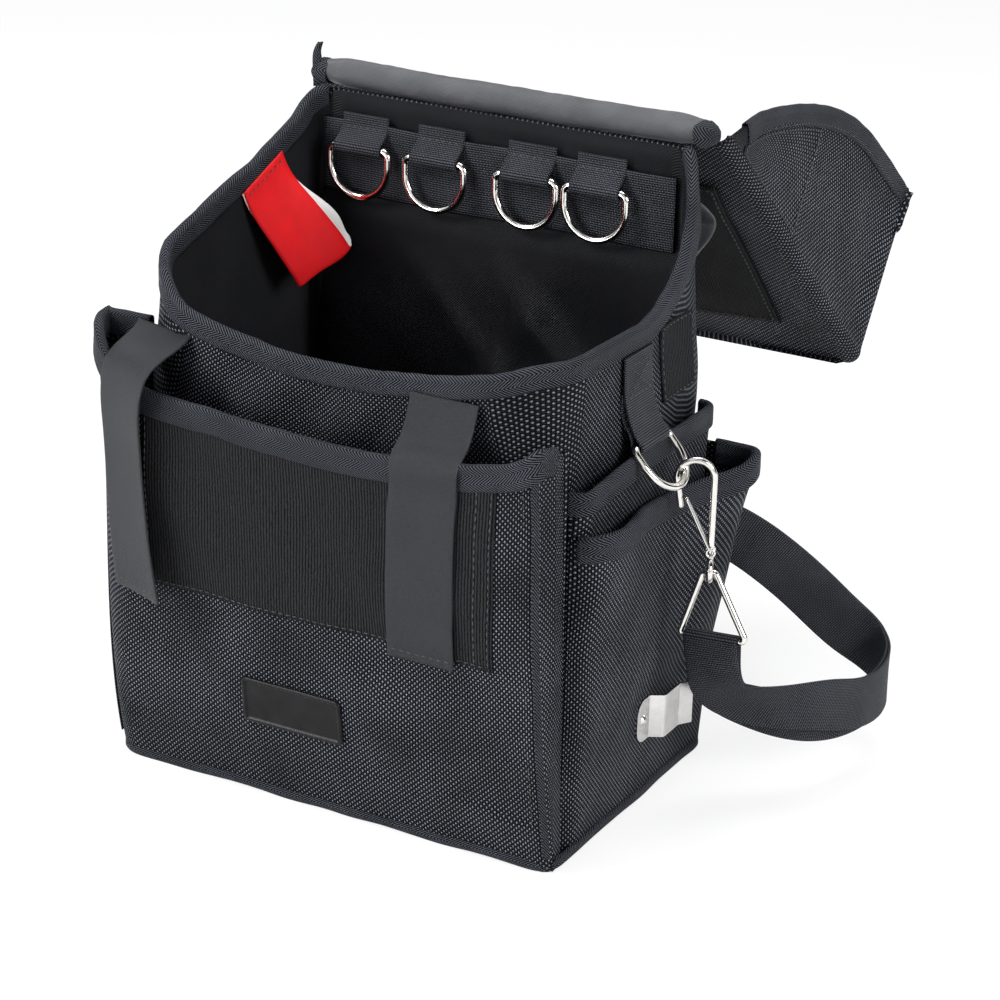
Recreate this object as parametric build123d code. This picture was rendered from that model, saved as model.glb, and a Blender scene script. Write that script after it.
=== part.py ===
"""Electrician's tool pouch: an open-topped fabric bag with a fold-back hood, pockets and a shoulder strap.

Millimetres. The origin is the centre of the bag's footprint on the floor, +X runs to the right along the
front, +Y to the back and +Z up. The hood lies folded back behind the bag, as when the bag is in use.
"""
from build123d import *
import os
from functools import cache
from math import atan2, cos, degrees, radians, sin, sqrt

# ---- the bag's body ----
BASE_WIDTH = 248.0
BASE_DEPTH = 168.0
MIDDLE_HEIGHT = 205.0
MIDDLE_WIDTH = 246.0
TOP_WIDTH = 230.0
BASE_CORNER = 16.0
TOP_CORNER = 18.0
WALL = 3.0                   # outer fabric on its foam
LINING = 0.8
FLOOR = 3.0
BOARD = 2.0                  # stiffener under the lining
BACK_HEIGHT = 331.0
FRONT_HEIGHT = 258.0
FRONT_SAG = 17.0
SAG_HALF_WIDTH = 108.0
RIM_STEP_FRONT = 6.0         # where the right rim starts to climb, along Y
RIM_STEP_BACK = BASE_DEPTH / 2 - 6   # and where it reaches the back's height
LEFT_RIM = ((-59.0, 18.0), (-14.0, 33.0), (19.0, 43.0), (60.0, 59.0))   # Y, and the height over the front
TAPE = 1.0                   # binding tape
TAPE_WIDTH = 11.0
TAPE_BACK_END = BASE_DEPTH / 2 - 12

# ---- front pocket and what is sewn to it ----
POCKET_BULGE = 22.0
POCKET_HALF_WIDTH = 134.0
POCKET_BASE_MARGIN = 3.0
POCKET_FABRIC = 2.2
POCKET_BACK_END = 12 - BASE_DEPTH / 2
POCKET_TOP_MIDDLE = 209.0
POCKET_TOP_END = 236.0
PANEL_LEFT, PANEL_RIGHT = -100.0, 104.0
PANEL_BOTTOM = 110.0
PANEL_THICKNESS = 1.5
PLATE_CENTRE_X, PLATE_CENTRE_Z = -15.0, 56.5
PLATE_WIDTH, PLATE_HEIGHT = 60.0, 26.0
PLATE_THICKNESS = 2.0
PLATE_BORDER = 2.2
PLATE_RECESS = 0.8
STRAP_TAPE_WIDTH = 38.0
STRAP_TAPE = 1.5
STRAP_BOTTOM = 106.0
STRAP_CENTRES = {"left": -106.0, "right": 65.0}

# ---- side pockets ----
FLAT_POCKET_TOP = 198.0
FLAT_POCKET_GAPE = 8.5
FLAT_POCKET_FABRIC = 1.8
SIDE_POCKET_TOP = 172.0
SIDE_POCKET_FABRIC = 2.0
SIDE_POCKET_BASE = 6.0       # how far it stands off the body at the base
SIDE_POCKET_MIDDLE = 12.5    # at the mouth, halfway along
SIDE_POCKET_FLARE = 34.0     # at the mouth's back corner
SIDE_POCKET_FRONT = 13 - BASE_DEPTH / 2
SIDE_POCKET_BACK = BASE_DEPTH / 2 - 2
PATCH_THICKNESS = 1.3
PATCH_FRONT, PATCH_BACK = 28.0, 64.0
PATCH_BOTTOM, PATCH_TOP = 213.0, 252.0

# ---- rings, hooks and webbing ----
WEBBING_WIDTH = 30.0
WEBBING = 1.5
RING_WIRE = 4.0
RING_INNER = 32.0
RING_DROP = 27.0             # from the bar's axis to the far side's axis
RING_CORNER = 4.0
RUNNING_GAP = 0.3
BAND_BOTTOM, BAND_TOP = 276.0, 316.0
BAND_LEFT, BAND_RIGHT = -108.0, 104.0
BAND_THICKNESS = 2.0
LOOP_REACH = 8.5             # ring bar's distance in front of the band
LOOP_BAR_HEIGHT = 304.0
INNER_RING_CENTRES = (-82.0, -35.0, 20.0, 61.0)
SIDE_BAR_X, SIDE_BAR_Z = 133.0, 204.0
SIDE_RING_Y = -1.0
SIDE_RING_LEAN = 41.0        # degrees out from straight down
TAB_WALL_BOTTOM = 215.0
HOOK_WIRE = 3.5
HOOK_HEIGHT = 57.2           # from the eye's axis to the top bend's inside
HOOK_BEND = 9.4
HOOK_NOSE_DROP = 15.0
HOOK_TURN = 25.0             # degrees, about the vertical
HOOK_ALONG_RING = 10.0       # where on the ring's bend it hangs
HOOK_SEAT_ANGLE = 20.0       # degrees, up from the bend's inner side
EYE_RADIUS = 5.2
GATE_WIRE = 1.4
GATE_SPREAD = 3.0
GATE_COIL = 2.0
STRAP_RING_DROP = 36.0
STRAP_RING_WIDTH = 38.0
STRAP_RING_LEAN = 6.0
SLIDER_X = 20.0
SLIDER_LENGTH = 26.0
SLIDER_WALL = 2.4

# ---- tape clip, label and loops on the back ----
CLIP_SHEET = 1.2
CLIP_SEAT = 1.2              # the foot's middle, out from the pocket's lowest outline
CLIP_BOTTOM, CLIP_TOP = 32.0, 56.0
CLIP_START = 2.0
CLIP_FOOT = 14.0
CLIP_STAND_OFF = 7.0
CLIP_SPAN = 17.0
CLIP_LIP = 7.0
RIVET_RADIUS = 3.2
BACK_LOOP_X = 86.0
BACK_LOOP_TOP, BACK_LOOP_BOTTOM = 322.0, 252.0
BACK_LOOP_BEND = 279.0
BACK_LOOP_REACH = 42.0
LABEL_CORNER = (-114.2, 5.0, 287.0)
LABEL_ALONG_RIM = (0.7, 35.0, 14.0)
LABEL_HANG = (17.0, 28.0, -57.0)
LABEL_THICKNESS = 1.2

# ---- hood ----
HINGE_Y = BASE_DEPTH / 2 + 3
HINGE_Z = 339.0
ROLL_RADIUS = 8.0
ROLL_HALF_LENGTH = 113.0
HOOD_REST = -47.0            # degrees: which way the folded-back top panel runs, from +Y towards +Z
HOOD_FABRIC = 3.0
HOOD_NEAR_HALF = 124.0
HOOD_FAR_HALF = 145.0
HOOD_REACH = 228.0
HOOD_LIP = 113.0
HOOD_TAPER = 4.5
HOOD_CORNER = 10.0
HOOD_PATCH_HALF = 106.0
HOOD_PATCH_NEAR, HOOD_PATCH_FAR = 50.0, 190.0
GUSSET_EDGE = ((50.0, 47.0), (84.0, 70.0), (116.0, 85.0), (150.0, 96.0))

BODY_SECTIONS = (
    (0.0, BASE_WIDTH, BASE_DEPTH, BASE_CORNER),
    (MIDDLE_HEIGHT, MIDDLE_WIDTH, BASE_DEPTH, (BASE_CORNER + TOP_CORNER) / 2),
    (BACK_HEIGHT + 20.0, TOP_WIDTH, BASE_DEPTH, TOP_CORNER),
)
BACK_FACE = BASE_DEPTH / 2
FRONT_FACE = -BASE_DEPTH / 2
INNER_BACK_FACE = BACK_FACE - WALL - LINING
FAR = 400.0


def block(x0, x1, y0, y1, z0, z1):
    """A box between two corners."""
    return Pos((x0 + x1) / 2, (y0 + y1) / 2, (z0 + z1) / 2) * Box(abs(x1 - x0), abs(y1 - y0), abs(z1 - z0))


def above(height):
    return block(-FAR, FAR, -FAR, FAR, height, 2 * FAR)


def side_profile(points_or_edges, half_length):
    """Extrude an outline drawn in Y and Z along X, both ways."""
    face = Plane.YZ * make_face(points_or_edges)
    return extrude(face, amount=half_length, both=True)


@cache
def body_block(grow):
    """The bag's outer form, filled in, with its surface moved out by grow."""
    sections = [
        Pos(0, 0, z) * RectangleRounded(width + 2 * grow, depth + 2 * grow, corner + grow)
        for z, width, depth, corner in BODY_SECTIONS
    ]
    return loft([section.face() for section in sections])


def above_edge(edge, low, high):
    """Everything over a side rim drawn in Y and Z, flat in front of it and behind it."""
    return make_face([
        Line((-FAR, low), edge[0] @ 0),
        *edge,
        Line(edge[-1] @ 1, (FAR, high)),
        Line((FAR, high), (FAR, 2 * FAR)),
        Line((FAR, 2 * FAR), (-FAR, 2 * FAR)),
        Line((-FAR, 2 * FAR), (-FAR, low)),
    ])


@cache
def above_rim(rise):
    """Everything over the bag's open rim, the rim moved up by rise."""
    low, high = FRONT_HEIGHT + rise, BACK_HEIGHT + rise
    step = Bezier((RIM_STEP_FRONT, low), (RIM_STEP_FRONT + 62, low + 4), (RIM_STEP_BACK - 16, high - 30),
                  (RIM_STEP_BACK, high))
    climb = Spline((FRONT_FACE, low), *[(y, low + up) for y, up in LEFT_RIM], (RIM_STEP_BACK, high))
    right = extrude(Plane.YZ * above_edge([step], low, high), amount=FAR)
    left = extrude(Plane.YZ * above_edge([climb], low, high), amount=-FAR)
    sag = make_face([
        ThreePointArc((-SAG_HALF_WIDTH, low), (0, low - FRONT_SAG), (SAG_HALF_WIDTH, low)),
        Line((SAG_HALF_WIDTH, low), (SAG_HALF_WIDTH, low + 60)),
        Line((SAG_HALF_WIDTH, low + 60), (-SAG_HALF_WIDTH, low + 60)),
        Line((-SAG_HALF_WIDTH, low + 60), (-SAG_HALF_WIDTH, low)),
    ])
    dip = Pos(0, FRONT_FACE, 0) * extrude(Plane.XZ * sag, amount=30, both=True)
    return right + left + dip


def main_shell():
    inside = body_block(-WALL) & above(FLOOR)
    return body_block(0) - inside - above_rim(0)


def base_board():
    inside = body_block(-WALL - 1)
    return inside & block(-FAR, FAR, -FAR, FAR, FLOOR, FLOOR + BOARD)


def inner_lining():
    outside = body_block(-WALL) & above(FLOOR + BOARD)
    inside = body_block(-WALL - LINING) & above(FLOOR + BOARD + LINING)
    return outside - inside - above_rim(-TAPE_WIDTH)


def rim_binding():
    ring = body_block(TAPE) - body_block(-WALL - TAPE)
    zone = above_rim(-TAPE_WIDTH) - above_rim(TAPE)
    wall = body_block(0) - body_block(-WALL) - above_rim(0)
    return (ring & zone & block(-FAR, FAR, -FAR, TAPE_BACK_END, 0, FAR)) - wall


@cache
def pocket_block(grow, back_end):
    """The front pocket's outer form, filled in back to back_end."""
    base_half = BASE_WIDTH / 2 + POCKET_BASE_MARGIN
    stations = (
        (0.0, base_half, POCKET_BASE_MARGIN),
        (POCKET_TOP_MIDDLE / 2, (base_half + POCKET_HALF_WIDTH) / 2, POCKET_BULGE * 0.86),
        (POCKET_TOP_END + 6, POCKET_HALF_WIDTH, POCKET_BULGE),
    )
    sections = []
    for z, half, bulge in stations:
        front, back = FRONT_FACE - bulge - grow, 0.0
        corner = BASE_CORNER + grow
        section = Pos(0, (front + back) / 2, z) * RectangleRounded(2 * (half + grow), back - front, corner)
        sections.append(section.face())
    return loft(sections) & block(-FAR, FAR, -FAR, back_end, 0, FAR)


@cache
def above_pocket(rise):
    """Everything over the front pocket's mouth, which sags between its corners."""
    middle, end = POCKET_TOP_MIDDLE + rise, POCKET_TOP_END + rise
    reach = POCKET_HALF_WIDTH + 8
    top = FAR
    mouth = make_face([
        Spline((-reach, end), (-0.72 * reach, middle + 5), (0, middle), (0.72 * reach, middle + 5), (reach, end)),
        Line((reach, end), (reach, top)),
        Line((reach, top), (-reach, top)),
        Line((-reach, top), (-reach, end)),
    ])
    return extrude(Plane.XZ * mouth, amount=FAR, both=True)


def front_pocket():
    outside = pocket_block(0, POCKET_BACK_END)
    inside = pocket_block(-POCKET_FABRIC, POCKET_BACK_END - POCKET_FABRIC)
    return outside - inside - body_block(0) - above_pocket(0)


def front_pocket_binding():
    outside = pocket_block(TAPE, POCKET_BACK_END)
    inside = pocket_block(-POCKET_FABRIC - TAPE, POCKET_BACK_END - POCKET_FABRIC - TAPE)
    zone = above_pocket(-TAPE_WIDTH) - above_pocket(TAPE)
    wall = pocket_block(0, POCKET_BACK_END) - pocket_block(-POCKET_FABRIC, POCKET_BACK_END - POCKET_FABRIC)
    return ((outside - inside) & zone) - (wall - above_pocket(0)) - body_block(0)


def on_pocket(thickness):
    """A layer of the given thickness on the front pocket's face."""
    return pocket_block(thickness, POCKET_BACK_END) - pocket_block(0, POCKET_BACK_END)


def loop_panel():
    patch = block(PANEL_LEFT, PANEL_RIGHT, -FAR, 0, PANEL_BOTTOM, POCKET_TOP_END)
    return (on_pocket(PANEL_THICKNESS) & patch) - above_pocket(-TAPE_WIDTH)


def name_plate():
    half_w, half_h = PLATE_WIDTH / 2, PLATE_HEIGHT / 2
    plate = extrude(Plane.XZ * RectangleRounded(PLATE_WIDTH, PLATE_HEIGHT, 3), amount=FAR / 2, both=True)
    recess = Plane.XZ * RectangleRounded(2 * (half_w - PLATE_BORDER), 2 * (half_h - PLATE_BORDER), 1.5)
    recess = extrude(recess, amount=FAR / 2, both=True)
    place = Pos(PLATE_CENTRE_X, FRONT_FACE, PLATE_CENTRE_Z)
    return (on_pocket(PLATE_THICKNESS) & (place * plate)) - (
        (on_pocket(PLATE_THICKNESS) - on_pocket(PLATE_THICKNESS - PLATE_RECESS)) & (place * recess))


def rim_height(x):
    """The front rim's height at a place along it."""
    return FRONT_HEIGHT - FRONT_SAG * max(0.0, 1 - (x / SAG_HALF_WIDTH) ** 2)


def mouth_height(x):
    """The front pocket's mouth at a place along it, or a little above."""
    share = min(1.0, abs(x) / POCKET_HALF_WIDTH)
    return POCKET_TOP_MIDDLE + (POCKET_TOP_END - POCKET_TOP_MIDDLE) * share ** 3


def hook_strap(side):
    """A tape sewn under the front rim that hangs down over the pocket's edge."""
    centre = STRAP_CENTRES[side]
    mouth = mouth_height(abs(centre) + STRAP_TAPE_WIDTH / 2) + TAPE
    sewn = FRONT_FACE - 1.2
    hang = FRONT_FACE - POCKET_BULGE - TAPE - 3.4
    rim = rim_height(centre) - 2
    path = [
        Line((sewn, rim), (sewn, rim - 6)),
        Bezier((sewn, rim - 6), (sewn, mouth + 7), (hang, mouth + 12), (hang, mouth + 1)),
        Line((hang, mouth + 1), (hang, STRAP_BOTTOM)),
    ]
    back = STRAP_TAPE
    other = [
        Line((hang - back, STRAP_BOTTOM), (hang - back, mouth + 1)),
        Bezier((hang - back, mouth + 1), (hang - back, mouth + 14), (sewn - back, mouth + 9), (sewn - back, rim - 6)),
        Line((sewn - back, rim - 6), (sewn - back, rim)),
        Line((sewn - back, rim), (sewn, rim)),
        Line((hang, STRAP_BOTTOM), (hang - back, STRAP_BOTTOM)),
    ]
    return Pos(centre, 0, 0) * side_profile(path + other, STRAP_TAPE_WIDTH / 2)


def wall_x(height):
    """The body's half width at a height."""
    if height < MIDDLE_HEIGHT:
        share = height / MIDDLE_HEIGHT
        return (BASE_WIDTH + share * (MIDDLE_WIDTH - BASE_WIDTH)) / 2
    share = (height - MIDDLE_HEIGHT) / (BACK_HEIGHT + 20.0 - MIDDLE_HEIGHT)
    return (MIDDLE_WIDTH + share * (TOP_WIDTH - MIDDLE_WIDTH)) / 2


@cache
def flat_pocket_block(grow):
    """The flat inner side pocket's outer form, filled in, on the right."""
    stations = ((0.0, 2.2), (FLAT_POCKET_TOP / 2, 4.0), (FLAT_POCKET_TOP + 10, FLAT_POCKET_GAPE))
    front, back = SIDE_POCKET_FRONT - grow, SIDE_POCKET_BACK - 6 + grow
    sections = []
    for z, gape in stations:
        outer = BASE_WIDTH / 2 + gape + grow
        inner = BASE_WIDTH / 2 - 30
        plan = RectangleRounded(outer - inner, back - front, 10 + grow)
        sections.append((Pos((outer + inner) / 2, (front + back) / 2, z) * plan).face())
    return loft(sections) & block(0, FAR, -FAR, FAR, 0, FAR)


@cache
def side_pocket_block(grow):
    """The flared outer side pocket's form, filled in, on the right."""
    half = BASE_WIDTH / 2
    stations = (
        (0.0, SIDE_POCKET_BASE, SIDE_POCKET_BASE, SIDE_POCKET_BASE),
        (60.0, SIDE_POCKET_BASE + 1, SIDE_POCKET_BASE + 1, SIDE_POCKET_BASE + 3),
        (SIDE_POCKET_TOP + 8, SIDE_POCKET_MIDDLE + 2, SIDE_POCKET_MIDDLE, SIDE_POCKET_FLARE),
    )
    sections = []
    for z, front_out, middle_out, back_out in stations:
        front, back = SIDE_POCKET_FRONT - grow, SIDE_POCKET_BACK + grow
        root = half - 30
        outline = [
            Line((root, back), (root, front)),
            Line((root, front), (half, front)),
            Spline((half, front), (half + 0.8 * front_out + grow, front + 6), (half + front_out + grow, front + 16),
                   (half + middle_out + grow, -8), (half + 0.42 * (middle_out + back_out) + grow, 42),
                   (half + back_out + grow, back - 9), (half + 0.8 * back_out + grow, back - 2), (half, back)),
            Line((half, back), (root, back)),
        ]
        sections.append((Pos(0, 0, z) * make_face(outline)).face())
    return loft(sections)


def mirrored(piece, side):
    return piece if side == "right" else mirror(piece, about=Plane.YZ)


def flat_pocket(side):
    wall = flat_pocket_block(0) - flat_pocket_block(-FLAT_POCKET_FABRIC) - body_block(0) - above(FLAT_POCKET_TOP)
    return mirrored(wall, side)


def flat_pocket_binding(side):
    ring = flat_pocket_block(TAPE * 0.6) - flat_pocket_block(-FLAT_POCKET_FABRIC - TAPE * 0.6)
    zone = above(FLAT_POCKET_TOP - TAPE_WIDTH) - above(FLAT_POCKET_TOP + TAPE)
    wall = flat_pocket_block(0) - flat_pocket_block(-FLAT_POCKET_FABRIC) - above(FLAT_POCKET_TOP)
    return mirrored((ring & zone) - wall - body_block(0), side)


def side_pocket(side):
    wall = side_pocket_block(0) - side_pocket_block(-SIDE_POCKET_FABRIC) - above(SIDE_POCKET_TOP)
    return mirrored(wall - flat_pocket_block(0) - body_block(0), side)


def side_pocket_binding(side):
    ring = side_pocket_block(TAPE) - side_pocket_block(-SIDE_POCKET_FABRIC - TAPE)
    zone = above(SIDE_POCKET_TOP - TAPE_WIDTH) - above(SIDE_POCKET_TOP + TAPE)
    wall = side_pocket_block(0) - side_pocket_block(-SIDE_POCKET_FABRIC) - above(SIDE_POCKET_TOP)
    return mirrored((ring & zone) - wall - flat_pocket_block(TAPE * 0.6) - body_block(0), side)


def on_body(thickness):
    return body_block(thickness) - body_block(0)


def side_patch(side):
    patch = on_body(PATCH_THICKNESS) & block(0, FAR, PATCH_FRONT, PATCH_BACK, PATCH_BOTTOM, PATCH_TOP)
    return mirrored(patch - above_rim(-TAPE_WIDTH - 0.5), side)


def tape_loop(anchor, bar, width, gap=RUNNING_GAP, bar_radius=RING_WIRE / 2):
    """A tape folded round a bar and closed at its anchor, drawn in the plane's own X and Y."""
    inner = bar_radius + gap
    outside = make_hull((Pos(*bar) * Circle(inner + WEBBING)).edges() + (Pos(*anchor) * Circle(WEBBING)).edges())
    inside = make_hull((Pos(*bar) * Circle(inner)).edges() + (Pos(*anchor) * Circle(0.3)).edges())
    return extrude(outside - inside, amount=width / 2, both=True)


def ring_tab(side):
    """The side ring's webbing: flat on the body below the rim, then round the ring's bar."""
    flat = on_body(2 * WEBBING) & block(
        0, FAR, SIDE_RING_Y - WEBBING_WIDTH / 2, SIDE_RING_Y + WEBBING_WIDTH / 2,
        TAB_WALL_BOTTOM, FRONT_HEIGHT - TAPE_WIDTH - 0.5)
    anchor = (wall_x(TAB_WALL_BOTTOM) + WEBBING, TAB_WALL_BOTTOM + 1)
    loop = Plane.XZ * tape_loop(anchor, (SIDE_BAR_X, SIDE_BAR_Z), WEBBING_WIDTH)
    return mirrored(flat + Pos(0, SIDE_RING_Y, 0) * loop - body_block(0), side)


def d_ring():
    """A wire D-ring, its bar's axis on X through the origin and its bend below."""
    half = (RING_INNER + RING_WIRE) / 2
    straight = RING_DROP - half
    corner = RING_CORNER
    cut = corner * (1 - sqrt(0.5))
    path = Wire([
        Line((corner - half, 0), (half - corner, 0)),
        ThreePointArc((half - corner, 0), (half - cut, -cut), (half, -corner)),
        Line((half, -corner), (half, -straight)),
        ThreePointArc((half, -straight), (0, -RING_DROP), (-half, -straight)),
        Line((-half, -straight), (-half, -corner)),
        ThreePointArc((-half, -corner), (cut - half, -cut), (corner - half, 0)),
    ])
    ring = round_wire(path, RING_WIRE)
    return Rot(90, 0, 0) * ring


def round_wire(path, diameter):
    start = Plane(origin=path @ 0, z_dir=path % 0)
    return sweep(start * Circle(diameter / 2), path=path)


def inner_ring_bar():
    return INNER_BACK_FACE - BAND_THICKNESS - LOOP_REACH


def inner_ring(index):
    return Pos(INNER_RING_CENTRES[index], inner_ring_bar(), LOOP_BAR_HEIGHT) * d_ring()


def side_ring(side):
    ring = Rot(0, -SIDE_RING_LEAN, 0) * Rot(0, 0, 90) * d_ring()
    return mirrored(Pos(SIDE_BAR_X, SIDE_RING_Y, SIDE_BAR_Z) * ring, side)


def ring_band():
    layer = body_block(-WALL - LINING) - body_block(-WALL - LINING - BAND_THICKNESS)
    return layer & block(BAND_LEFT, BAND_RIGHT, BACK_FACE - 40, BACK_FACE, BAND_BOTTOM, BAND_TOP)


def ring_loops():
    """Four short webbing loops that hold the inner rings to the band."""
    face = INNER_BACK_FACE - BAND_THICKNESS
    loops = []
    for centre in INNER_RING_CENTRES:
        loop = tape_loop((face - WEBBING - 0.05, BAND_TOP - 3), (inner_ring_bar(), LOOP_BAR_HEIGHT), WEBBING_WIDTH - 2)
        loops.append(Pos(centre, 0, 0) * (Plane.YZ * loop))
    return loops


def ring_seat():
    """Where the snap hook hangs on the right side ring: the wire's axis there."""
    half = (RING_INNER + RING_WIRE) / 2
    rise = half - sqrt(half ** 2 - HOOK_ALONG_RING ** 2)
    reach = RING_DROP - rise
    lean = radians(SIDE_RING_LEAN)
    return Vector(SIDE_BAR_X + reach * sin(lean), SIDE_RING_Y + HOOK_ALONG_RING, SIDE_BAR_Z - reach * cos(lean))


def hook_eye():
    """The eye's centre: the ring's wire lies inside the bend, against the nose's side."""
    seat, turn, side = ring_seat(), radians(HOOK_TURN), radians(HOOK_SEAT_ANGLE)
    slack = HOOK_BEND - HOOK_WIRE / 2 - RING_WIRE / 2 - RUNNING_GAP
    along = HOOK_BEND + slack * cos(side)
    up = HOOK_HEIGHT + HOOK_WIRE / 2 - HOOK_BEND + slack * sin(side)
    return Vector(seat.X + along * cos(turn), seat.Y + along * sin(turn), seat.Z - up)


def hook_plane():
    turn = radians(HOOK_TURN)
    return Plane(origin=hook_eye(), x_dir=(cos(turn), sin(turn), 0), z_dir=(sin(turn), -cos(turn), 0))


def snap_hook(side):
    """One bent wire: an eye across the hook's plane, a shank, the top bend and the nose."""
    bend_height = HOOK_HEIGHT + HOOK_WIRE / 2 - HOOK_BEND
    path = Wire([
        Line((0, EYE_RADIUS), (0, bend_height)),
        ThreePointArc((0, bend_height), (-HOOK_BEND, bend_height + HOOK_BEND), (-2 * HOOK_BEND, bend_height)),
        Line((-2 * HOOK_BEND, bend_height), (-2 * HOOK_BEND + 2.5, bend_height - HOOK_NOSE_DROP)),
    ])
    wire = round_wire(path, HOOK_WIRE)
    eye = Rot(0, 90, 0) * Torus(EYE_RADIUS, HOOK_WIRE / 2)
    nose = Pos(-2 * HOOK_BEND + 2.5, bend_height - HOOK_NOSE_DROP, 0) * Sphere(HOOK_WIRE / 2)
    return mirrored(hook_plane() * (wire + eye + nose), side)


def gate_pivot():
    """The gate's pivot in the hook's plane, beside the shank's foot."""
    return Vector(0, EYE_RADIUS + HOOK_WIRE + 1.5)


def hook_gate(side):
    """The spring-wire gate: two coils beside the shank and a hairpin up to the nose's inside."""
    bend_height = HOOK_HEIGHT + HOOK_WIRE / 2 - HOOK_BEND
    pivot = gate_pivot()
    tip = Vector(-2 * HOOK_BEND + 2.5 + HOOK_WIRE / 2 + RUNNING_GAP + GATE_WIRE / 2,
                 bend_height - HOOK_NOSE_DROP + 4.0)
    run = tip - pivot
    length, lean = run.length, degrees(atan2(run.Y, run.X))
    spread = HOOK_WIRE / 2 + GATE_WIRE / 2 + RUNNING_GAP
    top = GATE_SPREAD / 2
    legs = FilletPolyline((GATE_COIL, spread), (length * 0.45, spread), (length, top), (length, -top),
                          (length * 0.45, -spread), (GATE_COIL, -spread), radius=1.2)
    hairpin = Rot(90, 0, 0) * round_wire(legs, GATE_WIRE)
    coils = [Pos(0, 0, z) * Torus(GATE_COIL, GATE_WIRE / 2) for z in (spread, -spread)]
    gate = Rot(0, 0, lean) * (hairpin + coils[0] + coils[1])
    return mirrored(hook_plane() * (Pos(pivot.X, pivot.Y) * gate), side)


def strap_ring_apex():
    eye = hook_eye()
    drop = EYE_RADIUS - HOOK_WIRE - RUNNING_GAP
    return Vector(eye.X, eye.Y, eye.Z - drop)


def strap_ring(side):
    """A triangular wire ring: its rounded point through the hook's eye, its bar below in the webbing."""
    half = STRAP_RING_WIDTH / 2
    path = FilletPolyline((-3.5, 0), (3.5, 0), (half, -STRAP_RING_DROP), (-half, -STRAP_RING_DROP),
                          radius=[2.6, 2.6, 2.2, 2.2], close=True)
    ring = Rot(90, 0, 0) * round_wire(path, HOOK_WIRE)
    return mirrored(Pos(strap_ring_apex()) * Rot(0, -STRAP_RING_LEAN, 0) * ring, side)


def strap_bar():
    """The middle of the right strap ring's bar."""
    apex, lean = strap_ring_apex(), radians(STRAP_RING_LEAN)
    return Vector(apex.X + STRAP_RING_DROP * sin(lean), apex.Y, apex.Z - STRAP_RING_DROP * cos(lean))


# The strap's centre line from the right ring to the middle of the back, and how far its width has
# turned from lying along X at the ring (0) to standing upright (1).
STRAP_ROUTE = (
    ((2.0, 0.5, -19.0), 0.0), ((3.0, 9.0, -33.0), 0.25), ((9.0, 21.0, -43.0), 0.55), ((21.0, 35.0, -51.0), 0.8),
    ((33.0, 51.0, -57.0), 0.95), ((43.0, 71.0, -61.0), 1.0), ((50.0, 93.0, -61.0), 1.0),
    ((51.0, 113.0, -59.0), 1.0), ((45.0, 128.0, -55.0), 1.0), ((33.0, 134.0, -48.0), 1.0),
    ((20.0, 130.0, -37.0), 1.0), ((4.0, 119.0, -18.0), 1.0), ((-14.0, 106.0, 2.0), 1.0),
    ((-34.0, 92.0, 19.0), 1.0), ((-60.0, 79.0, 31.0), 1.0), ((-96.0, 73.5, 38.0), 1.0),
    ((-122.0, 73.0, 38.0), 1.0),
)


STRAP_BACK_GAP = 4.1         # the strap's middle, behind the back wall


def strap_route():
    """The route's points on the right, its run behind the bag kept at one distance from the back wall."""
    bar = strap_bar()
    depth_share = (BACK_FACE + STRAP_BACK_GAP - bar.Y) / STRAP_ROUTE[-1][0][1]
    return [(bar + Vector(x, y * depth_share, z), upright) for (x, y, z), upright in STRAP_ROUTE]


def strap_section(centre, tangent, upright):
    """The doubled webbing's cross-section at a point of its route."""
    up = Vector(0, 0, 1) - tangent * tangent.Z
    across = Vector(1, 0, 0) - tangent * tangent.X
    wide = (up * upright + across * (1 - upright)).normalized()
    plane = Plane(origin=centre, x_dir=wide, z_dir=tangent)
    return (plane * Rectangle(WEBBING_WIDTH, 2 * WEBBING)).face()


def shoulder_strap():
    bar = strap_bar()
    right = strap_route()
    left = [(Vector(-point.X, point.Y, point.Z), upright) for point, upright in reversed(right)]
    last = right[-1][0]
    route = right + [(Vector(0, last.Y, last.Z), 1.0)] + left
    sections = []
    for i, (point, upright) in enumerate(route):
        before, after = route[max(i - 1, 0)][0], route[min(i + 1, len(route) - 1)][0]
        tangent = (after - before).normalized()
        if i < len(right) or i >= len(route) - len(right):
            reverse = 1 if i < len(right) else -1
            section = strap_section(point, tangent * reverse, upright)
        else:
            section = strap_section(point, tangent, upright)
        sections.append(section)
    band = loft(sections, ruled=True)
    loop = Plane.YZ * tape_loop((0.4, -18), (0, 0), WEBBING_WIDTH - 2, bar_radius=HOOK_WIRE / 2)
    right_loop = Pos(bar) * Rot(0, -STRAP_RING_LEAN, 0) * loop
    return band + right_loop + mirror(right_loop, about=Plane.YZ)


def write(name, piece):
    solids = piece if isinstance(piece, list) else [piece]
    part = Compound(children=[s for p in solids for s in p.solids()]) if len(solids) > 1 else solids[0]
    part.label = name
    export_step(part, f"parts/{name}.step")


def hood_frame():
    """The hood's own frame: X as the bag's, Y along its top panel, Z towards its open side."""
    turn = radians(HOOD_REST)
    return Plane(origin=(0, HINGE_Y, HINGE_Z), x_dir=(1, 0, 0), z_dir=(0, -sin(turn), cos(turn)))


def hood_block(inset, floor):
    """The hood's form, filled in: wider at its lip, its sides leaning in towards the open side."""
    near = ROLL_RADIUS + 0.6
    outline = Polyline(
        (-HOOD_NEAR_HALF + inset, near), (HOOD_NEAR_HALF - inset, near),
        (HOOD_FAR_HALF - inset, HOOD_REACH - inset), (-HOOD_FAR_HALF + inset, HOOD_REACH - inset), close=True)
    face = make_face(outline)
    face = fillet([v for v in face.vertices() if v.Y > HOOD_REACH / 2], HOOD_CORNER - inset)
    return extrude(Plane.XY.offset(floor) * face, amount=HOOD_LIP + 4 - floor, taper=HOOD_TAPER)


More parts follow.
